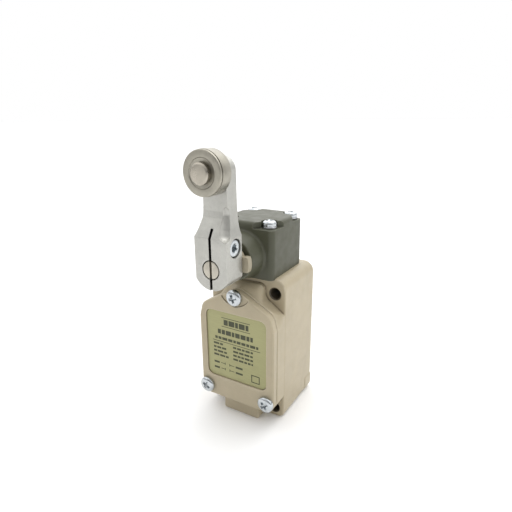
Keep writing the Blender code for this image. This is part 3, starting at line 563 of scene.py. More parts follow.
def cast_metal(name, color, roughness, slit):
    """Tumbled light-alloy casting with a painted highlight on edges, painted shade in creases, and painted
    shadow inside a slit given as (half width, top) in millimetres.
    """
    look = Look(name, color, roughness, 0.85)
    cloud = look.remap(look.noise(130, 5, 0.6), 0.3, 0.7, 0.0, 1.0)
    tone = look.blend(cloud, shade(color, 0.9), shade(color, 1.06))
    fleck = look.remap(look.noise(2300, 3), 0.58, 0.7, 0.0, 0.5)
    tone = look.blend(fleck, tone, shade(color, 0.72))
    # Painted highlight on edges that stand out.
    edge = look.remap(look.bend(), -0.06, -0.3, 0.0, 0.6)
    tone = look.blend(edge, tone, shade(color, 1.25))
    # Painted shade in creases.
    corner = look.remap(look.bend(), 0.05, 0.3, 0.0, 0.8)
    tone = look.blend(corner, tone, shade(color, 0.4))
    # Painted shadow inside the clamp slit.
    split = look.node("ShaderNodeSeparateXYZ")
    look.link(look.place, split.inputs[0])
    slit_shadow_mask = look.maths("MULTIPLY",
                        look.maths("LESS_THAN", look.maths("ABSOLUTE", split.outputs["X"]), slit[0] * MM),
                        look.maths("LESS_THAN", split.outputs["Z"], slit[1] * MM))
    tone = look.blend(slit_shadow_mask, tone, shade(color, 0.06))
    look.link(tone, look.shader.inputs["Base Color"])
    gloss = look.remap(look.noise(900, 4), 0.3, 0.7, roughness - 0.08, roughness + 0.12)
    look.link(gloss, look.shader.inputs["Roughness"])
    look.bump(look.noise(700, 3), 0.25, 0.05)
    look.bump(look.noise(3200, 3, 0.65), 0.3, 0.02)
    return look.material


def turned_metal(name, color, roughness, height, shade_beyond_radius=None):
    """Steel with circular tool marks about an axis at a height, with painted shade beyond a radius if one is
    given.
    """
    pitch = 0.35
    look = Look(name, color, roughness, 1.0)
    radius = look.radius_about(0, height)
    wander = look.maths("ADD", radius, look.maths("MULTIPLY", look.noise(180, 2), 0.25))
    marks = look.maths("SINE", look.maths("MULTIPLY", wander, 2 * math.pi / pitch))
    fine = look.maths("SINE", look.maths("MULTIPLY", wander, 2 * math.pi / (pitch * 0.31)))
    lines = look.maths("ADD", marks, look.maths("MULTIPLY", fine, 0.6))
    blur = look.remap(look.noise(240, 4), 0.3, 0.7, 0.0, 1.0)
    tone = look.blend(blur, shade(color, 0.88), shade(color, 1.07))
    band = look.remap(lines, -1.6, 1.6, 0.0, 0.12)
    tone = look.blend(band, tone, shade(color, 0.6))
    # Painted shade: beyond this radius the steel is darkened, standing in for the shaded side of the pin
    # head.
    if shade_beyond_radius:
        painted_shade_rim = look.remap(radius, shade_beyond_radius, shade_beyond_radius + 0.2, 0.0, 1.0)
        tone = look.blend(painted_shade_rim, tone, shade(color, 0.25))
    look.link(tone, look.shader.inputs["Base Color"])
    gloss = look.remap(look.noise(500, 4), 0.3, 0.7, roughness - 0.07, roughness + 0.1)
    look.link(gloss, look.shader.inputs["Roughness"])
    look.bump(lines, 0.1, 0.01)
    look.bump(look.noise(1800, 3), 0.1, 0.02)
    return look.material


def plated(name, color, roughness):
    """Bright zinc plate with faint clouding."""
    look = Look(name, color, roughness, 1.0)
    cloud = look.remap(look.noise(350, 4), 0.3, 0.7, 0.0, 1.0)
    tone = look.blend(cloud, shade(color, 0.86), shade(color, 1.05))
    stain = look.remap(look.noise(900, 3), 0.58, 0.72, 0.0, 0.35)
    tone = look.blend(stain, tone, shade(color, 0.6))
    look.link(tone, look.shader.inputs["Base Color"])
    gloss = look.remap(look.noise(700, 4), 0.3, 0.7, roughness - 0.06, roughness + 0.12)
    look.link(gloss, look.shader.inputs["Roughness"])
    look.bump(look.noise(1300, 3), 0.12, 0.02)
    return look.material


def moulded(name, color, roughness):
    """Plain moulded plastic, rubber or fibre: light mottling and fine texture."""
    look = Look(name, color, roughness)
    cloud = look.remap(look.noise(160, 4), 0.3, 0.7, 0.0, 1.0)
    look.link(look.blend(cloud, shade(color, 0.9), shade(color, 1.1)), look.shader.inputs["Base Color"])
    gloss = look.remap(look.noise(500, 3), 0.3, 0.7, roughness - 0.05, roughness + 0.1)
    look.link(gloss, look.shader.inputs["Roughness"])
    look.bump(look.noise(1600, 3), 0.2, 0.02)
    return look.material


def foil(name, color, roughness):
    """Olive anodised foil with fine brushing across."""
    look = Look(name, color, roughness, 0.55)
    brush = look.noise(260, 3, 0.6, stretch=(1.0, 1.0, 14.0))
    tone = look.blend(look.remap(brush, 0.35, 0.65, 0.0, 1.0), shade(color, 0.92), shade(color, 1.07))
    cloud = look.remap(look.noise(70, 3), 0.35, 0.65, 0.0, 0.5)
    tone = look.blend(cloud, tone, shade(color, 1.1))
    look.link(tone, look.shader.inputs["Base Color"])
    gloss = look.remap(brush, 0.3, 0.7, roughness - 0.05, roughness + 0.08)
    look.link(gloss, look.shader.inputs["Roughness"])
    look.bump(brush, 0.08, 0.01)
    return look.material


# The third colour given to each enamel is its painted edge highlight, and the fourth is its painted shade for
# corners and bores.
BEIGE = enamel("beige_enamel", (0.445, 0.382, 0.262), 0.38, (0.66, 0.59, 0.46), (0.13, 0.10, 0.062),
               bores=(MOUNT_X, MOUNT_Z))
GREY = enamel("grey_enamel", (0.070, 0.072, 0.044), 0.46, (0.19, 0.195, 0.155), (0.012, 0.012, 0.008))
ALLOY = cast_metal("cast_alloy", (0.50, 0.495, 0.46), 0.42, slit=(0.6, SLIT_TOP + 0.7))
ROLLER_STEEL = turned_metal("roller_steel", (0.37, 0.35, 0.295), 0.36, ROLLER_AXIS)
# The pin's side beyond 4.06 mm is darkened as painted shade.
PIN_STEEL = turned_metal("pin_steel", (0.46, 0.425, 0.36), 0.3, ROLLER_AXIS, shade_beyond_radius=4.06)
SHAFT_STEEL = turned_metal("shaft_steel", (0.50, 0.47, 0.40), 0.36, SHAFT_AXIS)
ZINC = plated("zinc_plate", (0.56, 0.59, 0.61), 0.2)
SPRING = plated("spring_steel", (0.45, 0.46, 0.48), 0.3)
BRASS = plated("brass", (0.78, 0.60, 0.30), 0.28)
CREAM = moulded("cream_plastic", (0.34, 0.30, 0.215), 0.42)
BLACK = moulded("black_plastic", (0.025, 0.025, 0.025), 0.4)
PHENOLIC = moulded("red_phenolic", (0.22, 0.045, 0.025), 0.35)
RUBBER = moulded("black_rubber", (0.018, 0.018, 0.018), 0.7)
OLIVE = foil("olive_foil", (0.33, 0.32, 0.165), 0.34)
INK = moulded("dark_ink", (0.045, 0.05, 0.02), 0.45)
FIBRE = moulded("fibre_sheet", (0.30, 0.23, 0.15), 0.8)


# ---------------------------------------------------------------- case and cover
def raised_outline(shoulder):
    """The closed outline of the raised front, from the path of its right-hand shoulder."""
    centre = (RAISED_HALF - RAISED_CORNER, RAISED_BOTTOM + RAISED_CORNER)
    right = shoulder + arc(centre, RAISED_CORNER, 0, -90, 12)
    left = [Vector((-point.x, point.y)) for point in reversed(right) if point.x > 1e-6]
    return right + left


def cover_outline():
    path = rounded([(0.0, COVER_APEX - 0.6, 0), (1.6, COVER_APEX - 0.9, 2.0), (17.9, 22.6, 5.0),
                    (RAISED_HALF, 16.0, 0)], 12, closed=False)
    return raised_outline(resample(path, 40))


def flange_outline():
    hollow = [(point.x, point.y, 0) for point in arc((MOUNT_X, MOUNT_Z), LAND_RADIUS, 172, 244, 14)]
    path = rounded([(0.0, SHOULDER_TOP, 0), (9.4, SHOULDER_TOP, 2.4)] + hollow
                   + [(RAISED_HALF, 20.2, 1.5), (RAISED_HALF, 16.0, 0)], 10, closed=False)
    return raised_outline(resample(path, 40))


def make_case():
    half = CASE_HALF
    bottom, top = CASE_Z
    shell = rounded([(-half, bottom, 3), (half, bottom, 3), (half, top, 5), (-half, top, 5)], 12)
    case = object_from(prism(shell, 0.0, FLANGE_DEPTH, round_start=0.7, round_end=0.7), "case_shell")
    root, front = flange_outline(), cover_outline()
    middle = [a.lerp(b, 0.45) for a, b in zip(root, front)]
    raised = ring_solid([(FLANGE_DEPTH - 3, root), (FLANGE_DEPTH + 1.8, root), (FLANGE_DEPTH + 4.0, middle),
                         (PARTING - 1.0, front), (PARTING - 0.3, front), (PARTING, inset(front, 0.3))])
    wall = rectangle((-BLOCK_HALF, BLOCK_HALF), (bottom + 0.02, RAISED_BOTTOM + 3), 0.9, 5)
    conduit = prism(wall, FLANGE_DEPTH - 4, PARTING - 0.05, round_end=0.6)
    heel = prism(rectangle((-half - 0.35, half + 0.35), (bottom + 0.6, -24.6), 2.2), 0.05, 7.0,
                 round_start=0.5, round_end=0.3)
    carve(case, [raised, conduit, heel], "UNION")
    chamber = rounded([(-15.6, 23.6, 2), (15.6, 23.6, 2), (15.6, -13.0, 1), (11.4, -17.0, 1),
                       (11.4, -21.6, 1), (-11.4, -21.6, 1), (-11.4, -17.0, 1), (-15.6, -13.0, 1)], 5)
    cuts = [prism(chamber, 5.0, PARTING + 2),
            rod(CONDUIT_RADIUS, bottom - 1, -20.0, "up", (0, CONDUIT_DEPTH, 0), 96),
            rod(CONDUIT_RADIUS + 0.9, bottom - 1, bottom + 0.5, "up", (0, CONDUIT_DEPTH, 0), 96,
                tip=CONDUIT_RADIUS - 0.1),
            rod(5.5, 22.0, top + 1, "up", (0, PLUNGER_DEPTH, 0))]
    for side_x in (-1, 1):
        for side_z in (-1, 1):
            spot = (side_x * MOUNT_X, 0, side_z * MOUNT_Z)
            cuts.append(rod(MOUNT_RADIUS, -1, 33, "front", spot))
            cuts.append(rod(MOUNT_RADIUS + 0.1, FLANGE_DEPTH - 0.35, FLANGE_DEPTH + 0.5, "front", spot,
                            tip=MOUNT_RADIUS + 0.9))
        for depth in HEAD_SCREW_DEPTHS:
            cuts.append(rod(1.8, 30.4, top + 1, "up", (side_x * HEAD_SCREW_X, depth, 0), 32))
    for x, z in COVER_SCREWS.values():
        cuts.append(rod(2.3, PARTING - 8.5, PARTING + 1, "front", (x, 0, z), 32))
    carve(case, cuts)
    soften(case, voxel=0.24, keep=0.15)
    finish(case, BEIGE, BODY_CASE, ["case"], 0)


def make_cover():
    outline = cover_outline()
    painted_shade_rim, back = 0.9, COVER_D[0]
    rings = [(back, inset(outline, 0.3)), (back + 0.3, outline)]
    for step in range(6):
        angle = math.pi / 2 * step / 5
        rings.append((COVER_FACE - painted_shade_rim * (1 - math.sin(angle)), inset(outline, painted_shade_rim * (1 - math.cos(angle)))))
    cover = object_from(ring_solid(rings), "cover_shell")
    recess = rectangle((PLATE_X[0] - 0.3, PLATE_X[1] + 0.3), (PLATE_Z[0] - 0.3, PLATE_Z[1] + 0.3), 3.0)
    lens = arc((0, 28.6 - 4.2), 8.6, 35, 145, 24) + arc((0, 28.6 + 4.2), 8.6, 215, 325, 24)
    cuts = [prism(recess, COVER_FACE - 0.9, COVER_FACE + 1),
            prism(lens, COVER_FACE - TOP_POCKET, COVER_FACE + 1),
            rod(4.5, COVER_FACE - TOP_POCKET - 0.02, COVER_FACE + 1, "front", (0, 0, 28.4)),
            prism(rectangle((-13.9, 13.9), (-12.0, 22.0), 2), back - 1, COVER_FACE - 2.3)]
    for x, z in COVER_SCREWS.values():
        cuts.append(rod(COVER_SCREW_BORE, back - 1, COVER_FACE + 1, "front", (x, 0, z), 32))
    carve(cover, cuts)
    soften(cover, voxel=0.17, keep=0.2)
    finish(cover, BEIGE, BODY_CASE, ["cover"], 0)


def make_label():
    """Blank foil plate with a plain border and unlettered bars, standing in for the rating print."""
    face = COVER_FACE - 0.55
    outline = rectangle((PLATE_X[0] - 0.1, PLATE_X[1] + 0.1), (PLATE_Z[0] - 0.1, PLATE_Z[1] + 0.1), 2.8)
    plate = object_from(prism(outline, COVER_FACE - 0.88, face, round_end=0.12), "label_plate")
    finish(plate, OLIVE, BODY_CASE, ["name_plate"], 30)
    bars = bmesh.new()

    def bar(x0, x1, z0, z1):
        made = box((x0, x1), (face - 0.02, face + 0.02), (z0, z1))
        data = bpy.data.meshes.new("bar")
        made.to_mesh(data)
        made.free()
        bars.from_mesh(data)
        bpy.data.meshes.remove(data)

    def dashes(start, end, level, height, seed):
        """A line of plain blocks of uneven length."""
        spread = np.random.default_rng(seed)
        x = start
        while x < end - 0.8:
            length = min(end - x, float(spread.uniform(1.2, 3.2)))
            bar(x, x + length, level, level + height)
            x += length + 0.45

    bar(-7.6, 7.6, 16.9, 17.2)
    bar(-7.6, 7.6, 12.5, 12.8)
    dashes(-6.4, 6.8, 13.5, 2.7, 1)
    dashes(-9.8, 10.2, 8.6, 2.3, 2)
    dashes(-11.4, 11.8, 5.7, 1.35, 3)
    bar(-12.8, 12.8, 4.5, 4.8)
    for row in range(4):
        level = 2.7 - row * 2.0
        dashes(-12.4, -6.0 + row * 0.6, level, 1.0, 10 + row)
        dashes(-1.6, 9.0, level, 1.0, 20 + row)
    for level in (-7.3, -10.2):
        bar(-12.4, -9.4, level, level + 1.0)
        bar(-8.6, -6.4, level + 0.4, level + 0.7)
        bar(-3.4, -1.2, level + 0.4, level + 0.7)
        bar(-6.5, -6.1, level - 0.1, level + 1.2)
        bar(-3.9, -3.5, level - 0.1, level + 1.2)
        bar(-0.4, 3.4, level, level + 1.0)
    for low, high in ((-12.0, -11.55), (-8.45, -8.0)):
        bar(8.0, 12.4, low, high)
    for low, high in ((8.0, 8.45), (11.95, 12.4)):
        bar(low, high, -12.0, -8.0)
    printed = object_from(bars, "label_print")
    finish(printed, INK, BODY_CASE, [], 30)


def make_gasket():
    """Thin black line between case and cover, a little inside both."""
    outline = inset(cover_outline(), 0.45)
    gasket = object_from(prism(outline, PARTING - 0.02, COVER_D[0] + 0.02), "gasket_line")
    room = [prism(rectangle((-14.0, 14.0), (-14.0, 21.0), 2), PARTING - 1, COVER_D[0] + 1)]
    for x, z in COVER_SCREWS.values():
        room.append(rod(COVER_SCREW_BORE, PARTING - 1, COVER_D[0] + 1, "front", (x, 0, z), 24))
    carve(gasket, room)
    finish(gasket, RUBBER, BODY_CASE, ["cover_gasket"], 30)


# ---------------------------------------------------------------- screws
def pan_head(node, facing, spot, head_radius, head_height, shank_radius, length, turn):
    """Pan head with a cross recess whose walls lean in, on a plain shank with thread crests."""
    profile = [(0.0, head_height)]
    for step in range(1, 9):
        angle = math.radians(90 * step / 8)
        profile.append((head_radius * math.sin(angle) ** 0.85,
                        head_height * (0.42 + 0.58 * math.cos(angle) ** 0.8)))
    profile += [(head_radius, 0.12), (head_radius - 0.12, 0.0), (shank_radius, 0.0)]
    crest = -0.6
    while crest > -length + 1.2:
        profile += [(shank_radius, crest), (shank_radius * 0.84, crest - 0.3), (shank_radius, crest - 0.6)]
        crest -= 0.6
    profile += [(shank_radius * 0.6, -length), (0.0, -length)]
    screw = object_from(lathe(profile, facing, spot, 48), node + "_fine")
    arm = head_radius * 0.6
    depth = head_height * 0.6
    tools = []
    for angle in (turn, turn + math.pi / 2):
        wide, narrow = head_radius * 0.19, head_radius * 0.11
        low, high = [[Vector((-a, -b)), Vector((a, -b)), Vector((a, b)), Vector((-a, b))]
                     for a, b in ((arm * 0.35, narrow), (arm, wide))]
        tool = ring_solid([(head_height - depth, low), (head_height + 0.05, high),
                           (head_height + 1, [point * 1.2 for point in high])], "up")
        matrix = spot_matrix(facing, *spot) @ Matrix.Rotation(angle, 4, "Z")
        bmesh.ops.transform(tool, matrix=matrix, verts=tool.verts)
        tools.append(tool)
    carve(screw, tools)
    bevelled(screw, 0.05, 2, 40)
    finish(screw, ZINC, BODY_CASE, [node], 38)


def make_screws():
    for turn, (name, (x, z)) in zip((0.35, 1.05, 0.7), COVER_SCREWS.items()):
        seat = COVER_FACE - (TOP_POCKET if name == "cover_screw_top" else 0.0)
        pan_head(name, "front", (x, seat + 0.02, z), 3.8, 2.3, 2.0, 10.8, turn)
    number = 0
    for depth in HEAD_SCREW_DEPTHS:
        for side in (-1, 1):
            number += 1
            x = side * HEAD_SCREW_X
            washer = lathe([(1.85, 0.85), (2.95, 0.85), (3.1, 0.7), (3.1, 0.15), (2.95, 0.0), (1.85, 0.0)],
                           "up", (x, depth, HEAD_LEDGE + 0.05), 48)
            finish(object_from(washer, "washer_%d_fine" % number), SPRING, BODY_CASE,
                   ["lock_washer_%d" % number], 35)
            pan_head("head_screw_%d" % number, "up", (x, depth, HEAD_LEDGE + 0.95), 3.0, 2.4, 1.5, 28.0,
                     0.4 + number * 0.9)


# ---------------------------------------------------------------- operating head
def make_head():
    outline = rectangle(HEAD_X, (-HEAD_FACE, -HEAD_REAR), 2.5)
    shell = prism(outline, HEAD_Z[0] - 0.2, HEAD_Z[1], "up", round_start=0.3, round_end=1.9, steps=6)
    head = object_from(shell, "head_shell")
    boss = lathe([(0, BOSS_END), (8.9, BOSS_END), (9.3, BOSS_END - 0.25), (9.5, BOSS_END - 0.8),
                  (10.35, HEAD_FACE + 1.0), (10.7, HEAD_FACE + 0.35), (11.3, HEAD_FACE - 0.05),
                  (10.5, HEAD_FACE - 0.6), (10.4, HEAD_FACE - 1.6), (0, HEAD_FACE - 1.6)],
                 "front", SHAFT_CENTRE, 96)
    carve(head, [boss], "UNION")
    reach = 12.2
    cuts = []
    for side in (-1, 1):
        corner = side * (HEAD_X[1] + 1)
        for depth, edge, inward in zip(HEAD_SCREW_DEPTHS, (HEAD_FACE + 1, HEAD_REAR - 1), (-1, 1)):
            wedge = [Vector((corner, -edge)), Vector((corner - side * reach, -edge)),
                     Vector((corner, -(edge + inward * reach)))]
            spot = (side * HEAD_SCREW_X, depth, 0)
            cuts += [prism(wedge, HEAD_LEDGE, HEAD_Z[1] + 1, "up"),
                     rod(3.7, HEAD_LEDGE + 0.01, HEAD_Z[1] + 1, "up", spot),
                     rod(1.8, HEAD_Z[0] - 1, HEAD_Z[1], "up", spot, 32)]
    cuts += [rod(6.3, 24.0, BOSS_END + 1, "front", SHAFT_CENTRE),
             rod(8.2, 12.6, 24.5, "front", SHAFT_CENTRE),
             rod(4.3, 9.0, 14.0, "front", SHAFT_CENTRE),
             box((-5.6, 5.6), (11.9, 23.2), (HEAD_Z[0] - 1, SHAFT_AXIS))]
    carve(head, cuts)
    soften(head, voxel=0.19, keep=0.2)
    finish(head, GREY, BODY_CASE, ["head_housing"], 0)


# ---------------------------------------------------------------- lever, shaft and roller
def make_lever():
    side = math.degrees(math.acos(BLOCK_HALF_X / BLOCK_RADIUS))
    foot = arc((0, SHAFT_AXIS), BLOCK_RADIUS, 180 + side, 360 - side, 32)
    tip = arc((0, ROLLER_AXIS), ARM_HALF, 0, 180, 32)
    right = [Vector(point) for point in SIDE_CURVE]
    left = [Vector((-point.x, point.y)) for point in reversed(right)]
    outline = foot + right + tip + left
    bar = prism(outline, LEVER_BACK, LEVER_FRONT, round_start=0.35, round_end=0.35, steps=3)
    lever = object_from(bar, "lever_casting")
    ramp = [Vector((BLOCK_TOP + 0.1, -LEVER_FRONT)), Vector((BLOCK_TOP + 0.1, -LEVER_FRONT - 2)),
            Vector((95.0, -LEVER_FRONT - 2)), Vector((95.0, -ARM_FRONT)), Vector((RAMP_TOP + 2, -ARM_FRONT)),
            Vector((RAMP_TOP - 0.6, -ARM_FRONT - 0.25))]
    cuts = [prism(ramp, -12, 12, "right")]
    hollows = ((3.9, (-10.0, -58.4, 62.4), (-8.4, -55.4, 70.0)),
               (4.5, (8.2, -57.6, 62.6), (4.7, -53.2, 70.6)))
    for girth, low, high in hollows:
        spindle = [(0, 10.4), (0.6, 10.0), (girth * 0.49, 7.8), (girth * 0.77, 4.8), (girth * 0.94, 2.2)]
        spindle += [(girth * math.cos(math.radians(9 * i)), -girth * math.sin(math.radians(9 * i)))
                    for i in range(10)]
        tool = lathe(spindle + [(0, -girth)], "up", (0, 0, 0), 48)
        turn = Vector((0, 0, 1)).rotation_difference(Vector(high) - Vector(low)).to_matrix().to_4x4()
        bmesh.ops.transform(tool, matrix=Matrix.Translation(low) @ turn, verts=tool.verts)
        cuts.append(tool)
    start, end = LEVER_BACK - 2, LEVER_FRONT + 2
    cuts += [box((-SLIT_HALF, SLIT_HALF), (start, end), (SHAFT_AXIS - 12, SLIT_TOP)),
             rod(0.56, start, end, "front", (0, 0, SLIT_TOP + 0.1), 32),
             rod(4.1, start, end, "front", SHAFT_CENTRE, 96),
             rod(2.3, -5.2, 9, "right", BOLT_CENTRE, 48),
             rod(COUNTERBORE, 2.6, 9, "right", BOLT_CENTRE, 64),
             rod(2.7, start, ARM_FRONT + 2, "front", ROLLER_CENTRE, 64)]
    carve(lever, cuts)
    soften(lever, voxel=0.14, keep=0.25)
    finish(lever, ALLOY, BODY_LEVER, ["lever"], 0)


def make_shaft():
    profile = [(0, LEVER_FRONT), (3.4, LEVER_FRONT), (3.62, LEVER_FRONT - 0.08), (3.72, LEVER_FRONT - 0.3),
               (3.72, LEVER_FRONT - 1.6), (4.0, LEVER_FRONT - 1.9), (4.0, 25.9), (3.3, 25.9), (3.3, 24.7),
               (4.0, 24.7), (4.0, SHAFT_D[0] + 0.4), (3.6, SHAFT_D[0]), (0, SHAFT_D[0])]
    shaft = object_from(lathe(profile, "front", SHAFT_CENTRE, 96), "shaft_turned")
    slot = box((-SLIT_HALF, SLIT_HALF), (LEVER_FRONT - 2.4, LEVER_FRONT + 1),
               (SHAFT_AXIS - 5, SHAFT_AXIS + 5))
    carve(shaft, [slot, rod(1.3, -5, 5, "right", (0, PLUNGER_DEPTH, SHAFT_AXIS), 32)])
    bevelled(shaft, 0.06, 2, 50)
    finish(shaft, SHAFT_STEEL, BODY_LEVER, ["shaft"], 35)


def make_clamp_bolt():
    face = BLOCK_HALF_X - 0.45
    head = BOLT_HEAD
    profile = [(0, face), (head - 0.5, face), (head - 0.25, face - 0.06), (head - 0.06, face - 0.25),
               (head, face - 0.5), (head, face - 4.0), (2.0, face - 4.0)]
    crest = face - 4.6
    while crest > -4.0:
        profile += [(2.0, crest), (1.7, crest - 0.35), (2.0, crest - 0.7)]
        crest -= 0.7
    profile += [(1.6, -4.9), (0, -4.9)]
    bolt = object_from(lathe(profile, "right", BOLT_CENTRE, 64), "clamp_bolt_fine")
    hexagon = [(0, face + 1), (1.85, face + 1), (1.85, face - 2.4), (0, face - 3.0)]
    socket = lathe(hexagon, "right", BOLT_CENTRE, 6)
    flare = rod(1.7, face - 0.35, face + 0.3, "right", BOLT_CENTRE, 48, tip=2.35)
    carve(bolt, [socket, flare])
    bevelled(bolt, 0.05, 2, 40)
    finish(bolt, ZINC, BODY_LEVER, ["clamp_bolt"], 35)


def make_position_plate():
    """A ring with a rounded lobe at each side."""
    outline = []
    steps = 180
    hub, lobe = 7.4, RING_X[1] - 0.35
    lobe_start = math.cos(math.radians(24))
    for step in range(steps):
        angle = 2 * math.pi * step / steps
        rise = max(0.0, abs(math.cos(angle)) - lobe_start) / (1 - lobe_start)
        radius = hub + (lobe - hub) * min(1.0, rise * 2.4) ** 0.7
        outline.append(Vector((radius * math.cos(angle), SHAFT_AXIS + radius * math.sin(angle))))
    ring = object_from(prism(outline, RING_D[0], RING_D[1]), "position_ring")
    carve(ring, [rod(4.15, 40, 50, "front", SHAFT_CENTRE, 64)])
    bevelled(ring, 0.25, 3, 35)
    finish(ring, CREAM, BODY_LEVER, ["position_plate"], 35)


def make_roller():
    radius = ROLLER_X[1]
    back, face = ROLLER_D
    under = face - 0.28
    profile = [(2.7, under), (5.45, under), (5.6, face - 0.24), (5.72, face - 0.12), (5.85, face - 0.02),
               (5.95, face), (radius - 0.62, face), (radius - 0.42, face - 0.05), (radius - 0.22, face - 0.2),
               (radius - 0.12, face - 0.42), (radius - 0.1, face - 0.95), (radius - 0.62, face - 1.02),
               (radius - 0.62, face - 1.3), (radius - 0.08, face - 1.37), (radius, face - 1.47),
               (radius, back + 0.6), (radius - 0.15, back + 0.2), (radius - 0.5, back), (2.7, back)]
    roller = object_from(lathe(profile, "front", ROLLER_CENTRE, 160), "roller_fine")
    finish(roller, ROLLER_STEEL, BODY_ROLLER, ["roller"], 25)
    front = PIN_D[1]
    pin = [(0, front), (3.2, front - 0.03), (3.45, front - 0.08), (4.0, front - 0.5), (4.1, front - 0.62),
           (4.16, front - 0.85), (4.16, under + 0.12), (4.05, under + 0.02),
           (2.5, under + 0.02), (2.5, LEVER_BACK + 0.3), (3.1, LEVER_BACK - 0.02), (3.0, LEVER_BACK - 0.35),
           (2.4, LEVER_BACK - 0.55), (0, LEVER_BACK - 0.6)]
    finish(object_from(lathe(pin, "front", ROLLER_CENTRE, 96), "roller_pin_fine"), PIN_STEEL,
           BODY_LEVER, ["roller_pin"], 20)


# ---------------------------------------------------------------- springs
def make_spring(node, turns, wire):
    """A coil filling a CAD node's span, its turns closer together at both ends."""
    (left, right), (near, far), (low, high) = span(node)
    radius, depth = (right - left) / 2 - wire, (near + far) / 2
    bm = bmesh.new()
    rings = []
    count, sides = int(turns * 32), 12
    ring_angles = [2 * math.pi * side / sides for side in range(sides)]
    for index in range(count + 1):
        share = index / count
        ease = share - math.sin(2 * math.pi * share) / (2 * math.pi) * 0.9
        angle = 2 * math.pi * turns * share
        height = low + wire + (high - low - 2 * wire) * ease
        ring = []
        for around in ring_angles:
            reach = radius + wire * math.cos(around)
            ring.append(bm.verts.new((reach * math.cos(angle), reach * math.sin(angle) - depth,
                                      height + wire * math.sin(around))))
        rings.append(ring)
    for one, two in zip(rings, rings[1:]):
        for side in range(sides):
            after = (side + 1) % sides
            bm.faces.new((one[side], one[after], two[after], two[side]))
    bm.faces.new(rings[0])
    bm.faces.new(rings[-1])
    bmesh.ops.recalc_face_normals(bm, faces=bm.faces)
    obj = object_from(bm, node + "_fine")
    dress(obj, SPRING, 50)
    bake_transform(obj)
    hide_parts(node)


# ---------------------------------------------------------------- parts inside, kept from CAD
def dress_inner_nodes():
    """Give each CAD node the look of its material slot. Only the inner ones stay visible."""
    looks = {"steel": SHAFT_STEEL, "zinc_plated_steel": ZINC, "spring_steel": SPRING, "brass": BRASS,
             "cream_plastic": CREAM, "black_plastic": BLACK, "red_phenolic": PHENOLIC, "black_rubber": RUBBER,
             "olive_plate": OLIVE, "fibre_sheet": FIBRE, "beige_enamel": BEIGE, "grey_enamel": GREY,
             "cast_aluminium": ALLOY}
    slots = {part["node"]: part["material_slot"] for part in frame["record"]["subparts"]}
    for name, node in frame["nodes"].items():
        node.data.materials.clear()
        node.data.materials.append(looks[slots[name]])


# ---------------------------------------------------------------- stage
def make_stage():
    floor = bmesh.new()
    bmesh.ops.create_grid(floor, x_segments=2, y_segments=2, size=60000)
    bmesh.ops.translate(floor, vec=(0, 0, CASE_Z[0] - 0.02), verts=floor.verts)
    obj = object_from(floor, "floor")
    obj.data.transform(Matrix.Scale(MM, 4))
    look = Look("floor_paper", (0.95, 0.95, 0.95), 0.9)
    look.link(look.blend(look.noise(6, 2), (0.94, 0.94, 0.94), (0.96, 0.96, 0.96)),
              look.shader.inputs["Base Color"])
    obj.data.materials.append(look.material)


def area_light(name, position, target, size, power):
    data = bpy.data.lights.new(name, "AREA")
    data.energy = power
    data.size = size
    obj = bpy.data.objects.new(name, data)
    bpy.context.scene.collection.objects.link(obj)
    obj.location = position
    direction = Vector(target) - Vector(position)
    obj.rotation_euler = direction.to_track_quat("-Z", "Y").to_euler()


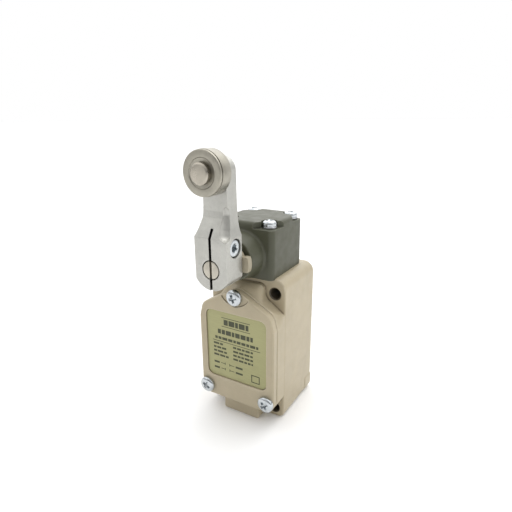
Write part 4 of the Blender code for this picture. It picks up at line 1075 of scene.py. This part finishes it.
def make_lights():
    """Three soft lights in a white room that is brighter above and behind. The camera sees plain white."""
    bpy.context.scene.view_settings.view_transform = "Standard"
    world = bpy.data.worlds.new("studio")
    bpy.context.scene.world = world
    world.use_nodes = True
    tree = world.node_tree
    room = tree.nodes["Background"]
    coordinates = tree.nodes.new("ShaderNodeTexCoord").outputs["Generated"]

    def toward(direction, low, high, dim, bright):
        """A brightness that changes with how far a ray points in a direction."""
        product = tree.nodes.new("ShaderNodeVectorMath")
        product.operation = "DOT_PRODUCT"
        tree.links.new(coordinates, product.inputs[0])
        product.inputs[1].default_value = direction
        ramp = tree.nodes.new("ShaderNodeMapRange")
        ramp.interpolation_type = "SMOOTHSTEP"
        for socket, value in zip(("From Min", "From Max", "To Min", "To Max"), (low, high, dim, bright)):
            ramp.inputs[socket].default_value = value
        tree.links.new(product.outputs["Value"], ramp.inputs["Value"])
        return ramp.outputs["Result"]

    def combine(operation, first, second):
        made = tree.nodes.new("ShaderNodeMath")
        made.operation = operation
        tree.links.new(first, made.inputs[0])
        tree.links.new(second, made.inputs[1])
        return made.outputs[0]

    ceiling = toward((0, 0, 1), 0.05, 0.75, 0.45, 1.4)
    backdrop = toward((-0.45, 0.88, 0.1), 0.35, 0.9, 0.0, 0.95)
    viewer_side = toward((0.45, -0.88, 0.1), 0.1, 0.95, 1.0, 0.45)
    strength = combine("MULTIPLY", combine("ADD", ceiling, backdrop), viewer_side)
    tree.links.new(strength, room.inputs["Strength"])
    paper = tree.nodes.new("ShaderNodeBackground")
    path = tree.nodes.new("ShaderNodeLightPath")
    mix = tree.nodes.new("ShaderNodeMixShader")
    paper.inputs["Color"].default_value = room.inputs["Color"].default_value = (1, 1, 1, 1)
    tree.links.new(path.outputs["Is Camera Ray"], mix.inputs["Fac"])
    tree.links.new(room.outputs[0], mix.inputs[1])
    tree.links.new(paper.outputs[0], mix.inputs[2])
    tree.links.new(mix.outputs[0], tree.nodes["World Output"].inputs["Surface"])
    centre = (0, -0.025, 0.03)
    area_light("overhead", (0.10, 0.12, 0.55), centre, 0.35, 0.68)
    area_light("right", (0.55, 0.02, 0.22), centre, 0.4, 0.23)
    area_light("front_left", (-0.35, -0.5, 0.30), centre, 0.25, 0.15)


# ---------------------------------------------------------------- camera
def make_camera():
    """Close, slightly high, from the right of the front."""
    azimuth, elevation, roll = math.radians(30.44), math.radians(17.8), math.radians(0.39)
    distance, lens, sensor = 202.8, 29.716875, 36.0
    shift_right, shift_down = 0.96, -26.63
    back = Vector((math.sin(azimuth) * math.cos(elevation), -math.cos(azimuth) * math.cos(elevation),
                   math.sin(elevation)))
    across = (-back).cross(Vector((0, 0, 1))).normalized()
    down = (-back).cross(across)
    right = across * math.cos(roll) + down * math.sin(roll)
    lower = down * math.cos(roll) - across * math.sin(roll)
    target = Vector((0, -25, 15)) + right * shift_right + lower * shift_down
    spot = target + back * distance
    data = bpy.data.cameras.new("camera")
    data.sensor_width = sensor
    data.lens = lens
    data.clip_start = 0.01
    obj = bpy.data.objects.new("camera", data)
    bpy.context.scene.collection.objects.link(obj)
    obj.matrix_world = Matrix.Translation(spot * MM) @ Matrix((right, -lower, back)).transposed().to_4x4()
    bpy.context.scene.camera = obj


make_camera()
make_lights()
make_stage()
make_spring("return_spring", 4.5, 0.4)
make_spring("contact_spring", 5.0, 0.25)
dress_inner_nodes()
make_case()
make_cover()
make_gasket()
make_label()
make_screws()
make_head()
make_lever()
make_shaft()
make_clamp_bolt()
make_position_plate()
make_roller()
